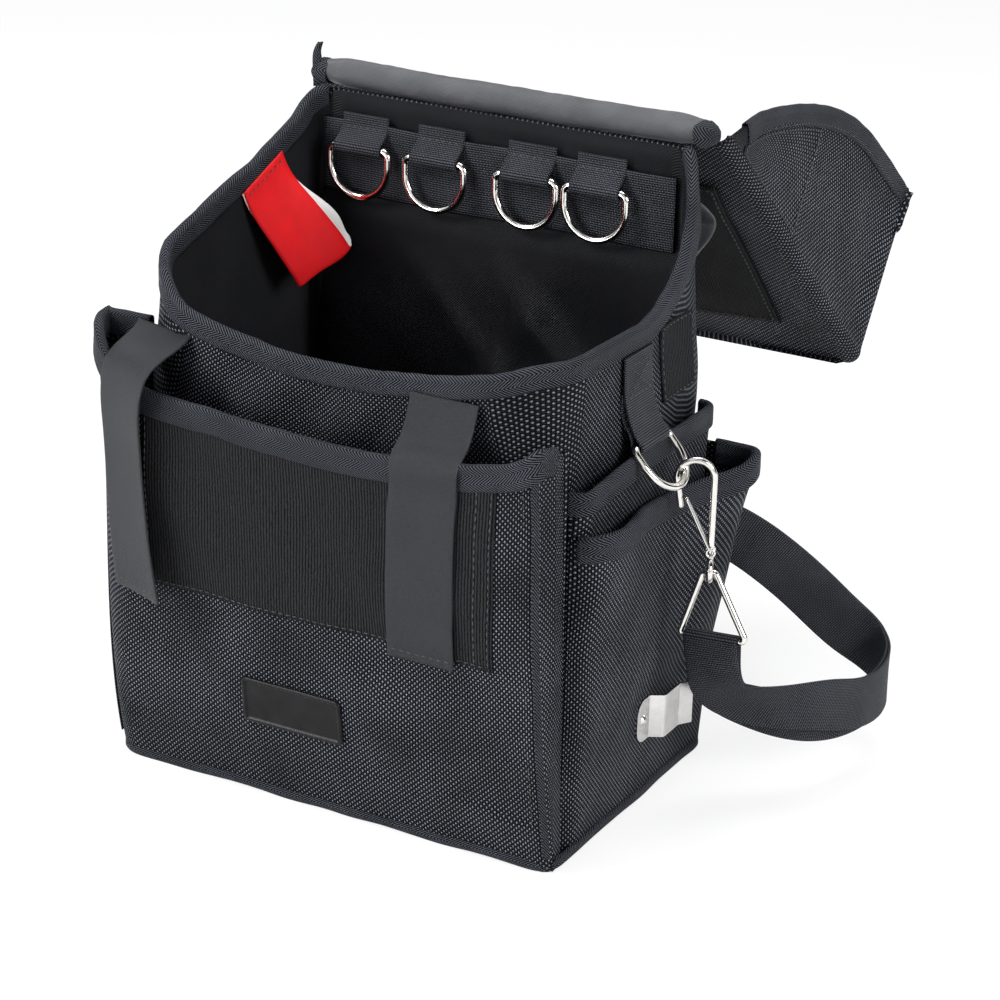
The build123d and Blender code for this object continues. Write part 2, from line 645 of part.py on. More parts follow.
def hood_space(rise):
    """Everything beyond the hood's free edge, which runs up both gussets and along the lip."""
    lip = HOOD_LIP + rise
    start = (0, 2.0 + rise)
    edge = [
        Line((-20, start[1]), start),
        Spline(start, *[(t, n + rise) for t, n in GUSSET_EDGE], (HOOD_REACH - 14, lip)),
        Line((HOOD_REACH - 14, lip), (FAR, lip)),
        Line((FAR, lip), (FAR, FAR)),
        Line((FAR, FAR), (-20, FAR)),
        Line((-20, FAR), (-20, start[1])),
    ]
    return side_profile(edge, FAR)


def lid_hood():
    outer = hood_block(0, -HOOD_FABRIC / 2)
    inner = hood_block(HOOD_FABRIC, HOOD_FABRIC / 2)
    passage = block(-HOOD_NEAR_HALF + HOOD_FABRIC, HOOD_NEAR_HALF - HOOD_FABRIC,
                    0, ROLL_RADIUS + 6, HOOD_FABRIC / 2, FAR)
    return hood_frame() * (outer - inner - passage - hood_space(0))


def lid_binding():
    band = hood_block(-TAPE, -HOOD_FABRIC) - hood_block(HOOD_FABRIC + TAPE, HOOD_FABRIC)
    wall = hood_block(0, -HOOD_FABRIC / 2) - hood_block(HOOD_FABRIC, HOOD_FABRIC / 2) - hood_space(0)
    zone = hood_space(-TAPE_WIDTH) - hood_space(TAPE)
    edge_only = block(-FAR, FAR, 34, FAR, HOOD_FABRIC, FAR)
    return hood_frame() * ((band & zone & edge_only) - wall)


def lid_loop_patch():
    return hood_frame() * block(-HOOD_PATCH_HALF, HOOD_PATCH_HALF, HOOD_PATCH_NEAR, HOOD_PATCH_FAR,
                                -HOOD_FABRIC / 2 - PANEL_THICKNESS, -HOOD_FABRIC / 2)


def hinge_roll():
    roll = Rot(0, 90, 0) * Cylinder(ROLL_RADIUS, 2 * ROLL_HALF_LENGTH)
    roll = fillet(roll.edges(), 3.0)
    return Pos(0, HINGE_Y, HINGE_Z) * roll


def strap_slider():
    end = strap_route()[-1][0]
    centre = Vector(SLIDER_X, end.Y, end.Z)
    slot_half = WEBBING + RUNNING_GAP
    half = WEBBING_WIDTH / 2 + RUNNING_GAP
    frame = Box(SLIDER_LENGTH, 2 * (slot_half + 1.4), 2 * (half + SLIDER_WALL))
    frame = fillet(frame.edges().filter_by(Axis.Y), 3.0)
    slot = Box(2 * SLIDER_LENGTH, 2 * slot_half, 2 * half)
    window = Pos(0, slot_half, 0) * Box((SLIDER_LENGTH - 3 * SLIDER_WALL) / 2, 2 * slot_half, 2 * half)
    shift = (SLIDER_LENGTH - 3 * SLIDER_WALL) / 4 + SLIDER_WALL / 2
    return Pos(centre) * (frame - slot - Pos(shift, 0, 0) * window - Pos(-shift, 0, 0) * window)


def tape_clip():
    """A bent steel plate that a tape measure's hook slides on to, riveted to the side pocket."""
    wall = BASE_WIDTH / 2 + SIDE_POCKET_BASE + CLIP_SEAT
    y0 = CLIP_START
    y1, y2 = y0 + CLIP_FOOT, y0 + CLIP_FOOT + 4
    y3, y4 = y2 + CLIP_SPAN, y2 + CLIP_SPAN + CLIP_LIP
    out = wall + CLIP_STAND_OFF
    path = FilletPolyline((wall, y0), (wall, y1), (out, y2), (out, y3), (out + 4.5, y4), radius=2.0)
    sheet = trace(path, line_width=CLIP_SHEET)
    plate = extrude(Pos(0, 0, CLIP_BOTTOM) * sheet, amount=CLIP_TOP - CLIP_BOTTOM)
    return fillet(plate.edges().filter_by(Axis.X).group_by(Axis.Y)[0], 8.0) - clip_rivet_shank()


def clip_rivet_shank():
    wall = BASE_WIDTH / 2 + SIDE_POCKET_BASE
    place = Pos(wall + CLIP_SEAT, CLIP_START + CLIP_FOOT / 2, (CLIP_BOTTOM + CLIP_TOP) / 2)
    return place * Rot(0, 90, 0) * Cylinder(RIVET_RADIUS / 2, 5.0)


def clip_rivet():
    """A domed head over the clip's foot, on a shank that goes through it."""
    sheet_face = BASE_WIDTH / 2 + SIDE_POCKET_BASE + CLIP_SEAT + CLIP_SHEET / 2
    height = 1.5
    radius = (RIVET_RADIUS ** 2 + height ** 2) / (2 * height)
    dome = Pos(0, 0, height - radius) * Sphere(radius)
    head = dome & Pos(0, 0, height) * Box(4 * RIVET_RADIUS, 4 * RIVET_RADIUS, 2 * height)
    place = Pos(sheet_face, CLIP_START + CLIP_FOOT / 2, (CLIP_BOTTOM + CLIP_TOP) / 2) * Rot(0, 90, 0)
    shank = clip_rivet_shank() & block(BASE_WIDTH / 2 + SIDE_POCKET_BASE + CLIP_SEAT - CLIP_SHEET / 2, sheet_face, -FAR, FAR, 0, FAR)
    return place * head + shank


def back_loop(side):
    """A stiff tape sewn to the back wall at both ends, standing out so that a belt passes through."""
    near = BACK_FACE + STRAP_TAPE / 2
    far = BACK_FACE + BACK_LOOP_REACH
    path = FilletPolyline(
        (near, BACK_LOOP_TOP), (near, BACK_LOOP_TOP - 9), (far - 4, BACK_LOOP_BEND + 6), (far, BACK_LOOP_BEND),
        (far - 5, BACK_LOOP_BEND - 8), (near, BACK_LOOP_BOTTOM + 9), (near, BACK_LOOP_BOTTOM),
        radius=[4, 5, 3, 5, 4])
    loop = extrude(Plane.YZ * trace(path, line_width=STRAP_TAPE), amount=STRAP_TAPE_WIDTH / 2, both=True)
    return mirrored(Pos(BACK_LOOP_X, 0, 0) * loop, side)


def care_label():
    """A folded cloth label sewn into the left rim, hanging into the bag."""
    corner, along, hang = Vector(*LABEL_CORNER), Vector(*LABEL_ALONG_RIM), Vector(*LABEL_HANG)
    face = make_face(Polyline(corner, corner + along, corner + along + hang, corner + hang, close=True))
    return extrude(face, amount=LABEL_THICKNESS, dir=Vector(1, 0, 0))


def main():
    os.makedirs("parts", exist_ok=True)
    write("main_shell", main_shell())
    write("base_board", base_board())
    write("inner_lining", inner_lining())
    write("rim_binding", rim_binding())
    write("front_pocket", front_pocket())
    write("front_pocket_binding", front_pocket_binding())
    write("loop_panel", loop_panel())
    write("name_plate", name_plate())
    for side in ("left", "right"):
        write(f"hook_strap_{side}", hook_strap(side))
        write(f"flat_pocket_{side}", flat_pocket(side))
        write(f"flat_pocket_binding_{side}", flat_pocket_binding(side))
        write(f"side_pocket_{side}", side_pocket(side))
        write(f"side_pocket_binding_{side}", side_pocket_binding(side))
        write(f"side_patch_{side}", side_patch(side))
        write(f"ring_tab_{side}", ring_tab(side))
        write(f"side_ring_{side}", side_ring(side))
        write(f"snap_hook_{side}", snap_hook(side))
        write(f"hook_gate_{side}", hook_gate(side))
        write(f"strap_ring_{side}", strap_ring(side))
    write("ring_band", ring_band())
    write("ring_loops", ring_loops())
    for index in range(len(INNER_RING_CENTRES)):
        write(f"inner_ring_{index + 1}", inner_ring(index))
    write("shoulder_strap", shoulder_strap())
    write("strap_slider", strap_slider())
    write("lid_hood", lid_hood())
    write("lid_binding", lid_binding())
    write("lid_loop_patch", lid_loop_patch())
    write("hinge_roll", hinge_roll())
    for side in ("left", "right"):
        write(f"back_loop_{side}", back_loop(side))
    write("tape_clip", tape_clip())
    write("clip_rivet", clip_rivet())
    write("care_label", care_label())


main()
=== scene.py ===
"""The looks of the electrician's tool pouch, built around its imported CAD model.

The script works in millimetres in the CAD's row frame (X right, Y back, Z up, origin on the floor) and
turns to metres only where a mesh is made. Soft pieces are grids of points with a cloth finish; wire parts
stay as the CAD made them and get a metal finish.
"""
import functools
import math

import bpy
import numpy as np
from mathutils import Matrix, Vector, noise


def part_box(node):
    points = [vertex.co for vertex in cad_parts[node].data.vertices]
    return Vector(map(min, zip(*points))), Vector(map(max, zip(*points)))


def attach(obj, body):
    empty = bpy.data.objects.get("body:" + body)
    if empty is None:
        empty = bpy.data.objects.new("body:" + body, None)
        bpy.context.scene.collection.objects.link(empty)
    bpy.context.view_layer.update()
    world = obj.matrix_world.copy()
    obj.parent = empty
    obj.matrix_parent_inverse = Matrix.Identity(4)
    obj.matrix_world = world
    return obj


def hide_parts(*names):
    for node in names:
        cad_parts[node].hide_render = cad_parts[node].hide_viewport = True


MM = 0.001
RIGHT, FORWARD = (1.0, 0, 0), (0, -1, 0)
RIGHT, FORWARD = (1.0, 0, 0), (0, -1, 0)
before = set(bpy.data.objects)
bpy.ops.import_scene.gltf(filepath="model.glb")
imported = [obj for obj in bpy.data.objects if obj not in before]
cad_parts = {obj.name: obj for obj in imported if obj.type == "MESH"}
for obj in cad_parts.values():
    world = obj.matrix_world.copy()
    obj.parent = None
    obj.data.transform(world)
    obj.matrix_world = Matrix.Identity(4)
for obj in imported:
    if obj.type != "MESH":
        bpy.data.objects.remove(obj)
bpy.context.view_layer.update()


def box_mm(node):
    lo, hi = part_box(node)
    return np.array(lo) / MM, np.array(hi) / MM


# ---------------------------------------------------------------- curves and grids

def unit(v):
    v = np.asarray(v, float)
    return v / np.maximum(np.linalg.norm(v, axis=-1, keepdims=True), 1e-9)


def ease(t):
    t = np.clip(t, 0.0, 1.0)
    return t * t * (3 - 2 * t)


def bell(distance, width):
    return np.exp(-(distance / width) ** 2)


def arc(x, y, radius, start, end, count, tall=1.0):
    """Points round a centre, from one angle in degrees to another."""
    return [(x + radius * math.cos(a), y + radius * tall * math.sin(a))
            for a in np.radians(np.linspace(start, end, count))]


def spline(knots, values, at):
    """A natural cubic through values at rising knots, read at the places asked for."""
    x, y = np.asarray(knots, float), np.asarray(values, float)
    flat = y.reshape(len(x), -1)
    h = np.diff(x)
    n = len(x)
    a = np.eye(n)
    b = np.zeros_like(flat)
    for i in range(1, n - 1):
        a[i, i - 1:i + 2] = h[i - 1], 2 * (h[i - 1] + h[i]), h[i]
        b[i] = 3 * ((flat[i + 1] - flat[i]) / h[i] - (flat[i] - flat[i - 1]) / h[i - 1])
    c = np.linalg.solve(a, b)
    at = np.clip(np.asarray(at, float), x[0], x[-1])
    k = np.clip(np.searchsorted(x, at, side="right") - 1, 0, n - 2)
    d = (at - x[k])[..., None]
    hk = h[k][..., None]
    slope = (flat[k + 1] - flat[k]) / hk - hk * (2 * c[k] + c[k + 1]) / 3
    out = flat[k] + d * (slope + d * (c[k] + d * (c[k + 1] - c[k]) / (3 * hk)))
    return out.reshape(at.shape + y.shape[1:])


def lengths(points):
    steps = np.linalg.norm(np.diff(points, axis=0), axis=-1)
    return np.concatenate([[0.0], np.cumsum(steps)])


def read(values, s, at):
    """Rows of values known at the lengths s, read at other lengths."""
    return np.stack([np.interp(at, s, column) for column in values.T], axis=-1)


def resample(points, count):
    s = lengths(points)
    return read(points, s, np.linspace(0, s[-1], count))


def curve(points, count):
    """A smooth curve through the points, read at equal steps."""
    p = np.array(points, float)
    s = lengths(p)
    return resample(spline(s, p, np.linspace(0, s[-1], 12 * count)), count)


def tangents(path):
    return unit(np.gradient(path, axis=0))


def bumps(points, size, seed):
    """Smooth noise from -1 to 1 at each point, with lumps of the given size."""
    flat = np.asarray(points, float).reshape(-1, 3) / size + seed * 7.31
    values = [noise.noise(Vector(p)) for p in flat]
    return np.array(values).reshape(np.asarray(points).shape[:-1])


def spots(*parts):
    """Numbers and arrays of any matching shapes as one array of points."""
    return np.stack(np.broadcast_arrays(*(np.asarray(part, float) for part in parts)), axis=-1)


def upward(path, out):
    """The direction square to a path and to its outside, turned to point up."""
    up = unit(np.cross(tangents(path), out))
    return up * np.sign(up[:, 2:3])


def mesh_object(name, points, faces, uvs, material):
    mesh = bpy.data.meshes.new(name)
    mesh.from_pydata((np.asarray(points) * MM).tolist(), [], faces)
    layer = mesh.uv_layers.new(name="Cloth")
    layer.data.foreach_set("uv", (np.asarray(uvs, float) * MM).astype(np.float32).ravel())
    mesh.materials.append(material)
    mesh.polygons.foreach_set("use_smooth", [True] * len(mesh.polygons))
    obj = bpy.data.objects.new(name, mesh)
    bpy.context.scene.collection.objects.link(obj)
    return obj


def grid_faces(shape, wrap=False, base=0):
    """Quads over rows and columns, with each corner's row and column for the cloth's UVs."""
    n_rows, n_cols = shape
    faces, corners = [], []
    for i in range(n_rows - 1):
        for j in range(n_cols if wrap else n_cols - 1):
            k = (j + 1) % n_cols
            faces.append([base + i * n_cols + j, base + i * n_cols + k,
                          base + (i + 1) * n_cols + k, base + (i + 1) * n_cols + j])
            corners += [(i, j), (i, j + 1), (i + 1, j + 1), (i + 1, j)]
    return faces, np.array(corners)


def grid_uvs(rows, corners, wrap):
    closed = np.concatenate([rows, rows[:, :1]], axis=1) if wrap else rows
    u, v = (np.concatenate([[0.0], np.cumsum(np.linalg.norm(np.diff(grid, axis=axis), axis=2).mean(axis=1 - axis))])
            for grid, axis in ((closed, 1), (rows, 0)))
    return np.stack([u[corners[:, 1]], v[corners[:, 0]]], axis=1)


def cloth(name, rows, material, body="bag", thickness=0.0, offset=-1.0, wrap=False, replaces=()):
    """A sheet over a grid of points, thickened to one side or both."""
    rows = np.asarray(rows, float)
    faces, corners = grid_faces(rows.shape[:2], wrap)
    obj = mesh_object(name, rows.reshape(-1, 3), faces, grid_uvs(rows, corners, wrap), material)
    if thickness:
        thicken(obj, thickness, offset, use_even_offset=False)
    return settle(obj, body, replaces)


def thicken(obj, thickness, offset, **settings):
    solid = obj.modifiers.new("Thickness", "SOLIDIFY")
    solid.thickness, solid.offset = thickness * MM, offset
    for key, value in settings.items():
        setattr(solid, key, value)


def settle(obj, body, replaces=(), slot=None):
    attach(obj, body)
    slot = slot or SLOTS.get(obj.data.materials[0])
    if replaces:
        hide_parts(*([replaces] if isinstance(replaces, str) else replaces))
    return obj


def ribbon(name, path, across, width, thickness, material, body="bag", replaces=(), face=None, points=12,
           cup=0.0, closed=False, slot=None):
    """A flat tape with rounded edges along a path; cup bows it across its width."""
    path, across = np.asarray(path, float), unit(np.broadcast_to(across, np.shape(path)))
    half, r = width / 2 - thickness / 2, thickness / 2
    top = [(x, r) for x in np.linspace(-half, half, points)]
    turn = [(half + r * math.sin(a), r * math.cos(a)) for a in np.linspace(0, math.pi, 5)[1:-1]]
    profile = np.array(top + turn)
    profile = np.concatenate([profile, -profile])
    profile[:, 1] += cup * (1 - (2 * profile[:, 0] / width) ** 2)
    out = unit(np.cross(across, tangents(path)) if face is None else face)
    rows = (path[:, None] + across[:, None] * profile[None, :, :1] + out[:, None] * profile[None, :, 1:2])
    if closed:
        rows = np.concatenate([rows, rows[:1]], axis=0)
    faces, corners = grid_faces(rows.shape[:2], True)
    uvs = grid_uvs(rows, corners, True)
    if not closed:
        n = len(profile)
        for first, order in ((0, range(n - 1, -1, -1)), ((len(rows) - 1) * n, range(n))):
            faces.append([first + k for k in order])
            uvs = np.concatenate([uvs, profile[list(order)]])
    return settle(mesh_object(name, rows.reshape(-1, 3), faces, uvs, material), body, replaces, slot)


# a stitch's rings: place along half its length, thickness and height
STITCH = ((-1, 0.25, -0.5), (-0.62, 0.85, 0.3), (0.0, 1.0, 0.6), (0.62, 0.85, 0.3), (1, 0.25, -0.5))
STITCH_RADIUS = 0.32
FINE = {"length": 2.8, "gap": 1.3}      # the stitch of wide flat pieces


class Seams:
    """Rows of stitches gathered into one piece for each body."""

    def __init__(self):
        self.points, self.faces = {}, {}

    def add(self, path, normals, body="bag", length=2.6, gap=1.2, lift=0.1):
        path, normals = np.asarray(path, float), np.broadcast_to(np.asarray(normals, float), np.shape(path))
        s = lengths(path)
        count = max(1, int(s[-1] / (length + gap)))
        points = self.points.setdefault(body, [])
        faces = self.faces.setdefault(body, [])
        for k in range(count):
            middle = (k + 0.5) * s[-1] / count
            along, sizes, rises = zip(*STITCH)
            rings = read(path, s, np.clip(middle + np.array(along) * length / 2, 0, s[-1]))
            up = unit(read(normals, s, middle))
            side = np.cross(unit(rings[-1] - rings[0]), up)
            base = len(points)
            for spot, size, rise in zip(rings, sizes, rises):
                for a in range(5):
                    angle = 2 * math.pi * a / 5
                    points.append(spot + side * STITCH_RADIUS * size * math.cos(angle)
                                  + up * (lift + STITCH_RADIUS * (rise + size * math.sin(angle))))
            for i in range(4):
                for a in range(5):
                    b = (a + 1) % 5
                    faces.append([base + i * 5 + a, base + i * 5 + b, base + (i + 1) * 5 + b, base + (i + 1) * 5 + a])
            faces.append([base + a for a in range(4, -1, -1)])
            faces.append([base + 20 + a for a in range(5)])

    def build(self, material):
        for body in self.points:
            count = sum(len(f) for f in self.faces[body])
            obj = mesh_object(f"stitches_{body}", np.array(self.points[body]), self.faces[body],
                              np.zeros((count, 2)), material)
            settle(obj, body)


seams = Seams()


# ---------------------------------------------------------------- finishes

class Value:
    """A number on the surface, worked out by nodes: arithmetic on it adds a math node."""

    def __init__(self, finish, socket):
        self.finish, self.socket = finish, socket

    def math(self, operation, *values):
        node = self.finish.node("Math", operation=operation)
        for value, socket in zip(values, node.inputs):
            self.finish.link(value, socket)
        return Value(self.finish, node.outputs[0])

    def with_other(operation):
        return lambda self, other: self.math(operation, self, other)

    __add__, __sub__, __mul__, __pow__, __gt__ = map(
        with_other, ("ADD", "SUBTRACT", "MULTIPLY", "POWER", "GREATER_THAN"))

    def __rsub__(self, other):
        return self.math("SUBTRACT", other, self)

    def __abs__(self):
        return self.math("ABSOLUTE", self)

    def sine(self, pitch):
        return self.math("SINE", self * (math.pi / pitch))

    def between(self, low, high, start=0.0, end=1.0):
        node = self.finish.node("MapRange")
        ends = {"Value": self, "From Min": start, "From Max": end, "To Min": low, "To Max": high}
        for key, value in ends.items():
            self.finish.link(value, node.inputs[key])
        return Value(self.finish, node.outputs[0])


class Finish:
    """A Principled material with short calls for its nodes."""

    def __init__(self, name, colour, roughness, specular=0.5, metallic=0.0):
        self.material = bpy.data.materials.new(name)
        self.material.use_nodes = True
        self.tree = self.material.node_tree
        self.shader = self.tree.nodes["Principled BSDF"]
        values = {"Base Color": (*colour, 1), "Roughness": roughness, "Metallic": metallic,
                  "Specular IOR Level": specular}
        for key, value in values.items():
            self.shader.inputs[key].default_value = value

    def node(self, kind, **settings):
        node = self.tree.nodes.new("ShaderNode" + kind)
        for key, value in settings.items():
            setattr(node, key, value)
        return node

    def link(self, source, target):
        if isinstance(source, (int, float)):
            target.default_value = source
        else:
            self.tree.links.new(getattr(source, "socket", source), target)

    def cloth_uv(self):
        """The cloth's own coordinates in millimetres: across and along."""
        split = self.node("SeparateXYZ")
        self.link(self.node("UVMap", uv_map="Cloth").outputs[0], split.inputs[0])
        return [Value(self, output) * (1 / MM) for output in split.outputs[:2]]

    def noise(self, size, detail=2.0, roughness=0.5):
        """Noise in the row frame, with lumps of about this many millimetres."""
        texture = self.node("TexNoise")
        sources = {"Vector": self.node("TexCoord").outputs["Object"], "Scale": 1 / (size * MM), "Detail": detail,
                   "Roughness": roughness}
        for key, value in sources.items():
            self.link(value, texture.inputs[key])
        return Value(self, texture.outputs["Fac"])

    def colour(self, value, *stops):
        node = self.node("ValToRGB")
        self.link(value, node.inputs[0])
        while len(node.color_ramp.elements) < len(stops):
            node.color_ramp.elements.new(0.5)
        for element, (place, *colour) in zip(node.color_ramp.elements, stops):
            element.position, element.color = place, (*colour, 1)
        self.link(node.outputs[0], self.shader.inputs["Base Color"])

    def roughness(self, value):
        self.link(value, self.shader.inputs["Roughness"])

    def bump(self, height, depth):
        node = self.node("Bump")
        self.link(height, node.inputs["Height"])
        node.inputs["Distance"].default_value = depth * MM
        node.inputs["Strength"].default_value = 1.0
        self.link(node.outputs[0], self.shader.inputs["Normal"])
        return self.material


def plain_weave(u, v, pitch_u, pitch_v, weft_share=1.0):
    """The height of a plain weave: threads over and under one another like a chessboard."""
    su, sv = u.sine(pitch_u), v.sine(pitch_v)
    over = su * sv > 0.0
    au, av = abs(su), abs(sv)
    return au * av ** 0.4 * over + av * au ** 0.4 * weft_share * (1.0 - over)


def outer_fabric():
    """Coarse polyester: shiny threads, with painted highlights on their tops and painted shade between them."""
    f = Finish("outer_fabric", (0.014, 0.015, 0.018), 0.45, 0.08)
    # the weft threads stand half as high as the warp, which the colour below turns into painted shade on them, as if
    # the light came from one side
    height = plain_weave(*f.cloth_uv(), 1.5, 1.5, weft_share=0.5)
    # colour from the weave's height: painted shade in the gaps, painted highlights on the thread tops; the 42 mm
    # noise lays broad patches of painted light and shade over it
    f.colour(height * f.noise(42, 3).between(0.84, 1.13, 0.3, 0.7),
             (0.12, 0.0005, 0.0005, 0.0007), (0.5, 0.0065, 0.0071, 0.0098), (0.95, 0.178, 0.189, 0.226))
    f.roughness(height.between(0.75, 0.34))
    return f.bump(height + f.noise(9, 2) * 0.6, 0.7)


def lining_fabric():
    f = Finish("lining_fabric", (0.01, 0.01, 0.011), 0.5, 0.1)
    u, v = f.cloth_uv()
    twill = abs((u + v).sine(1.3))
    # colour from the twill's ribs: painted shade in the furrows, painted highlights on the ribs; the 30 mm noise
    # makes it lighter and darker in broad patches
    f.colour(twill * f.noise(30, 3).between(0.6, 1.2), (0.1, 0.0004, 0.0004, 0.0004), (1.0, 0.013, 0.0137, 0.0168))
    return f.bump(twill + f.noise(14, 3) * 2.0, 0.4)


def binding_tape():
    """Herringbone tape: the ribs turn at its middle and at its quarters."""
    f = Finish("binding_tape", (0.03, 0.03, 0.032), 0.6, 0.07)
    u, v = f.cloth_uv()
    zigzag = u.math("PINGPONG", u, 4.2)
    height = abs((v + zigzag * 1.5).sine(1.9)) + abs((v - zigzag).sine(0.8)) * 0.15
    # colour from the ribs' height: painted shade between the ribs, painted highlights on their tops; the 25 mm noise
    # makes it lighter and darker in broad patches
    f.colour(height * f.noise(25, 3).between(0.75, 1.1),
             (0.3, 0.0005, 0.0005, 0.0007), (0.65, 0.0052, 0.0056, 0.007), (1.0, 0.062, 0.067, 0.081))
    f.roughness(height.between(0.75, 0.45))
    return f.bump(height, 0.7)


def webbing_fabric():
    """Woven webbing: ribs across it, broken into fine columns."""
    f = Finish("webbing", (0.03, 0.03, 0.032), 0.55, 0.1)
    height = plain_weave(*f.cloth_uv(), 0.9, 1.25, weft_share=1.3)
    # colour from the weave's height: painted shade between the threads, painted highlights on their tops; the 20 mm
    # noise makes it lighter and darker in broad patches
    f.colour(height * f.noise(20, 3).between(0.7, 1.15),
             (0.15, 0.001, 0.001, 0.0012), (0.5, 0.007, 0.0072, 0.009), (1.0, 0.09, 0.096, 0.114))
    f.roughness(height.between(0.7, 0.45))
    return f.bump(height, 0.5)


def satin_fabric():
    f = Finish("satin_fabric", (0.05, 0.051, 0.056), 0.4)
    fine = plain_weave(*f.cloth_uv(), 0.7, 0.5)
    f.colour(fine * 0.35 + f.noise(18, 4) * 0.8, (0.2, 0.024, 0.025, 0.028), (0.9, 0.075, 0.077, 0.087))
    return f.bump(fine * 0.35 + f.noise(6, 3) * 1.6, 0.45)


def loop_pile():
    """Loop tape: dense matt loops standing in rows along it."""
    f = Finish("loop_pile", (0.008, 0.008, 0.009), 0.9, 0.12)
    u, _ = f.cloth_uv()
    height = abs((u + f.noise(2.2, 2) * 0.9).sine(1.7)) * 0.6 + f.noise(0.9, 3, 0.7)
    # colour from the loops' height: painted shade between the loops, and the loop tops lighter as painted highlight
    f.colour(height, (0.5, 0.0005, 0.0005, 0.0005), (0.85, 0.004, 0.004, 0.0045), (1.0, 0.019, 0.02, 0.022))
    return f.bump(height, 0.7)


def hook_tape():
    """Hook tape seen from its smooth back: fine even threads."""
    f = Finish("hook_tape", (0.016, 0.0165, 0.019), 0.45, 0.28)
    fine = plain_weave(*f.cloth_uv(), 0.62, 0.62)
    f.colour((f.noise(1.1, 3) * 0.7 + fine * 0.4) * f.noise(26, 3).between(0.85, 1.25),
             (0.3, 0.0015, 0.0017, 0.0024), (1.0, 0.019, 0.0207, 0.027))
    return f.bump(fine + f.noise(7, 2) * 1.5, 0.14)


def label_cloth(name, dark, light):
    f = Finish(name, light, 0.5, 0.2)
    fine = plain_weave(*f.cloth_uv(), 0.5, 0.35)
    f.colour(fine * 0.4 + f.noise(12, 2) * 0.6, (0.1, *dark), (0.8, *light))
    return f.bump(fine, 0.08)


def plain(name, colour, roughness, mottle, dark, light, grain, depth, specular=0.5, metallic=0.0, polish=None):
    """A finish without threads: mottled between two colours, with a fine grain and an uneven polish."""
    f = Finish(name, colour, roughness, specular, metallic)
    f.colour(f.noise(*mottle), dark, light)
    if polish:
        noise_shape, ends = polish
        f.roughness(f.noise(*noise_shape).between(*ends))
    return f.bump(f.noise(*grain), depth)


def metal(name, colour, roughness, scratch):
    """Bright wire or plate with faint drawing marks and uneven polish."""
    return plain(name, colour, roughness, (6, 4), (0.3, *(c * 0.86 for c in colour)), (0.7, *colour), (0.7, 4),
                 scratch, metallic=1.0, polish=((2.5, 4), (roughness * 0.6, roughness * 1.6)))


def moulded(name, colour):
    return plain(name, colour, 0.42, (10, 3), (0.3, *(c * 0.7 for c in colour)), (0.8, *colour), (0.6, 2), 0.06)


FABRIC, LINING, TAPE, WEBBING = outer_fabric(), lining_fabric(), binding_tape(), webbing_fabric()
SATIN, PILE, HOOK_TAPE = satin_fabric(), loop_pile(), hook_tape()
RUBBER = plain("rubber", (0.004, 0.004, 0.0045), 0.35, (7, 4), (0.3, 0.0025, 0.0025, 0.003),
               (0.75, 0.008, 0.008, 0.009), (0.5, 3), 0.05, specular=0.16, polish=((3, 3), (0.25, 0.45)))
RED = label_cloth("label_red", (0.46, 0.002, 0.004), (0.72, 0.006, 0.01))
WHITE = label_cloth("label_inside", (0.6, 0.58, 0.57), (0.82, 0.8, 0.79))
WIRE = metal("nickel_wire", (0.68, 0.66, 0.63), 0.1, 0.008)
SPRING = metal("spring_wire", (0.62, 0.61, 0.59), 0.14, 0.008)
STEEL = metal("plated_steel", (0.62, 0.61, 0.6), 0.2, 0.01)
THREAD = plain("thread", (0.028, 0.028, 0.031), 0.5, (1.2, 2), (0.3, 0.014, 0.014, 0.016),
               (0.8, 0.05, 0.05, 0.054), (0.4, 2), 0.1)
PLASTIC = moulded("slider_plastic", (0.022, 0.022, 0.024))
BOARD = moulded("board_plastic", (0.05, 0.05, 0.053))
# the record's slot that each finish stands for
SLOTS = {FABRIC: "outer_fabric", LINING: "lining_fabric", TAPE: "binding_tape", WEBBING: "webbing",
         SATIN: "satin_fabric", PILE: "loop_pile", HOOK_TAPE: "hook_tape", RUBBER: "rubber_patch", RED: "label_cloth"}


# ---------------------------------------------------------------- the bag's main forms

SHELL_HI, POCKET_HI = box_mm("main_shell")[1], box_mm("front_pocket")[1]
ROLL_LO, ROLL_HI = box_mm("hinge_roll")
BAND_LO, BAND_HI = box_mm("ring_band")
HALF_DEPTH = SHELL_HI[1]
BASE_HALF = SHELL_HI[0]
TOP_HALF = 115.0
MIDDLE_HALF, MIDDLE_HEIGHT = 123.0, 205.0
BACK_HEIGHT = SHELL_HI[2]
FRONT_HEIGHT = BACK_HEIGHT - 73.0
FRONT_SAG = 17.0
WALL = 3.0
TAPE_WIDTH = 11.0
RIM_TAPE = 8.6
LEFT_RIM = ((-84, 0), (-59, 18), (-14, 33), (19, 43), (60, 59), (78, 73), (90, 73))
RIGHT_RIM = ((-90, 0), (6, 0), (30, 1.8), (48, 9), (62, 24), (71, 46), (78, 71), (84, 73))


def body_half(z):
    """The bag's half width at each height."""
    return np.interp(z, [0, MIDDLE_HEIGHT, BACK_HEIGHT + 20], [BASE_HALF, MIDDLE_HALF, TOP_HALF])


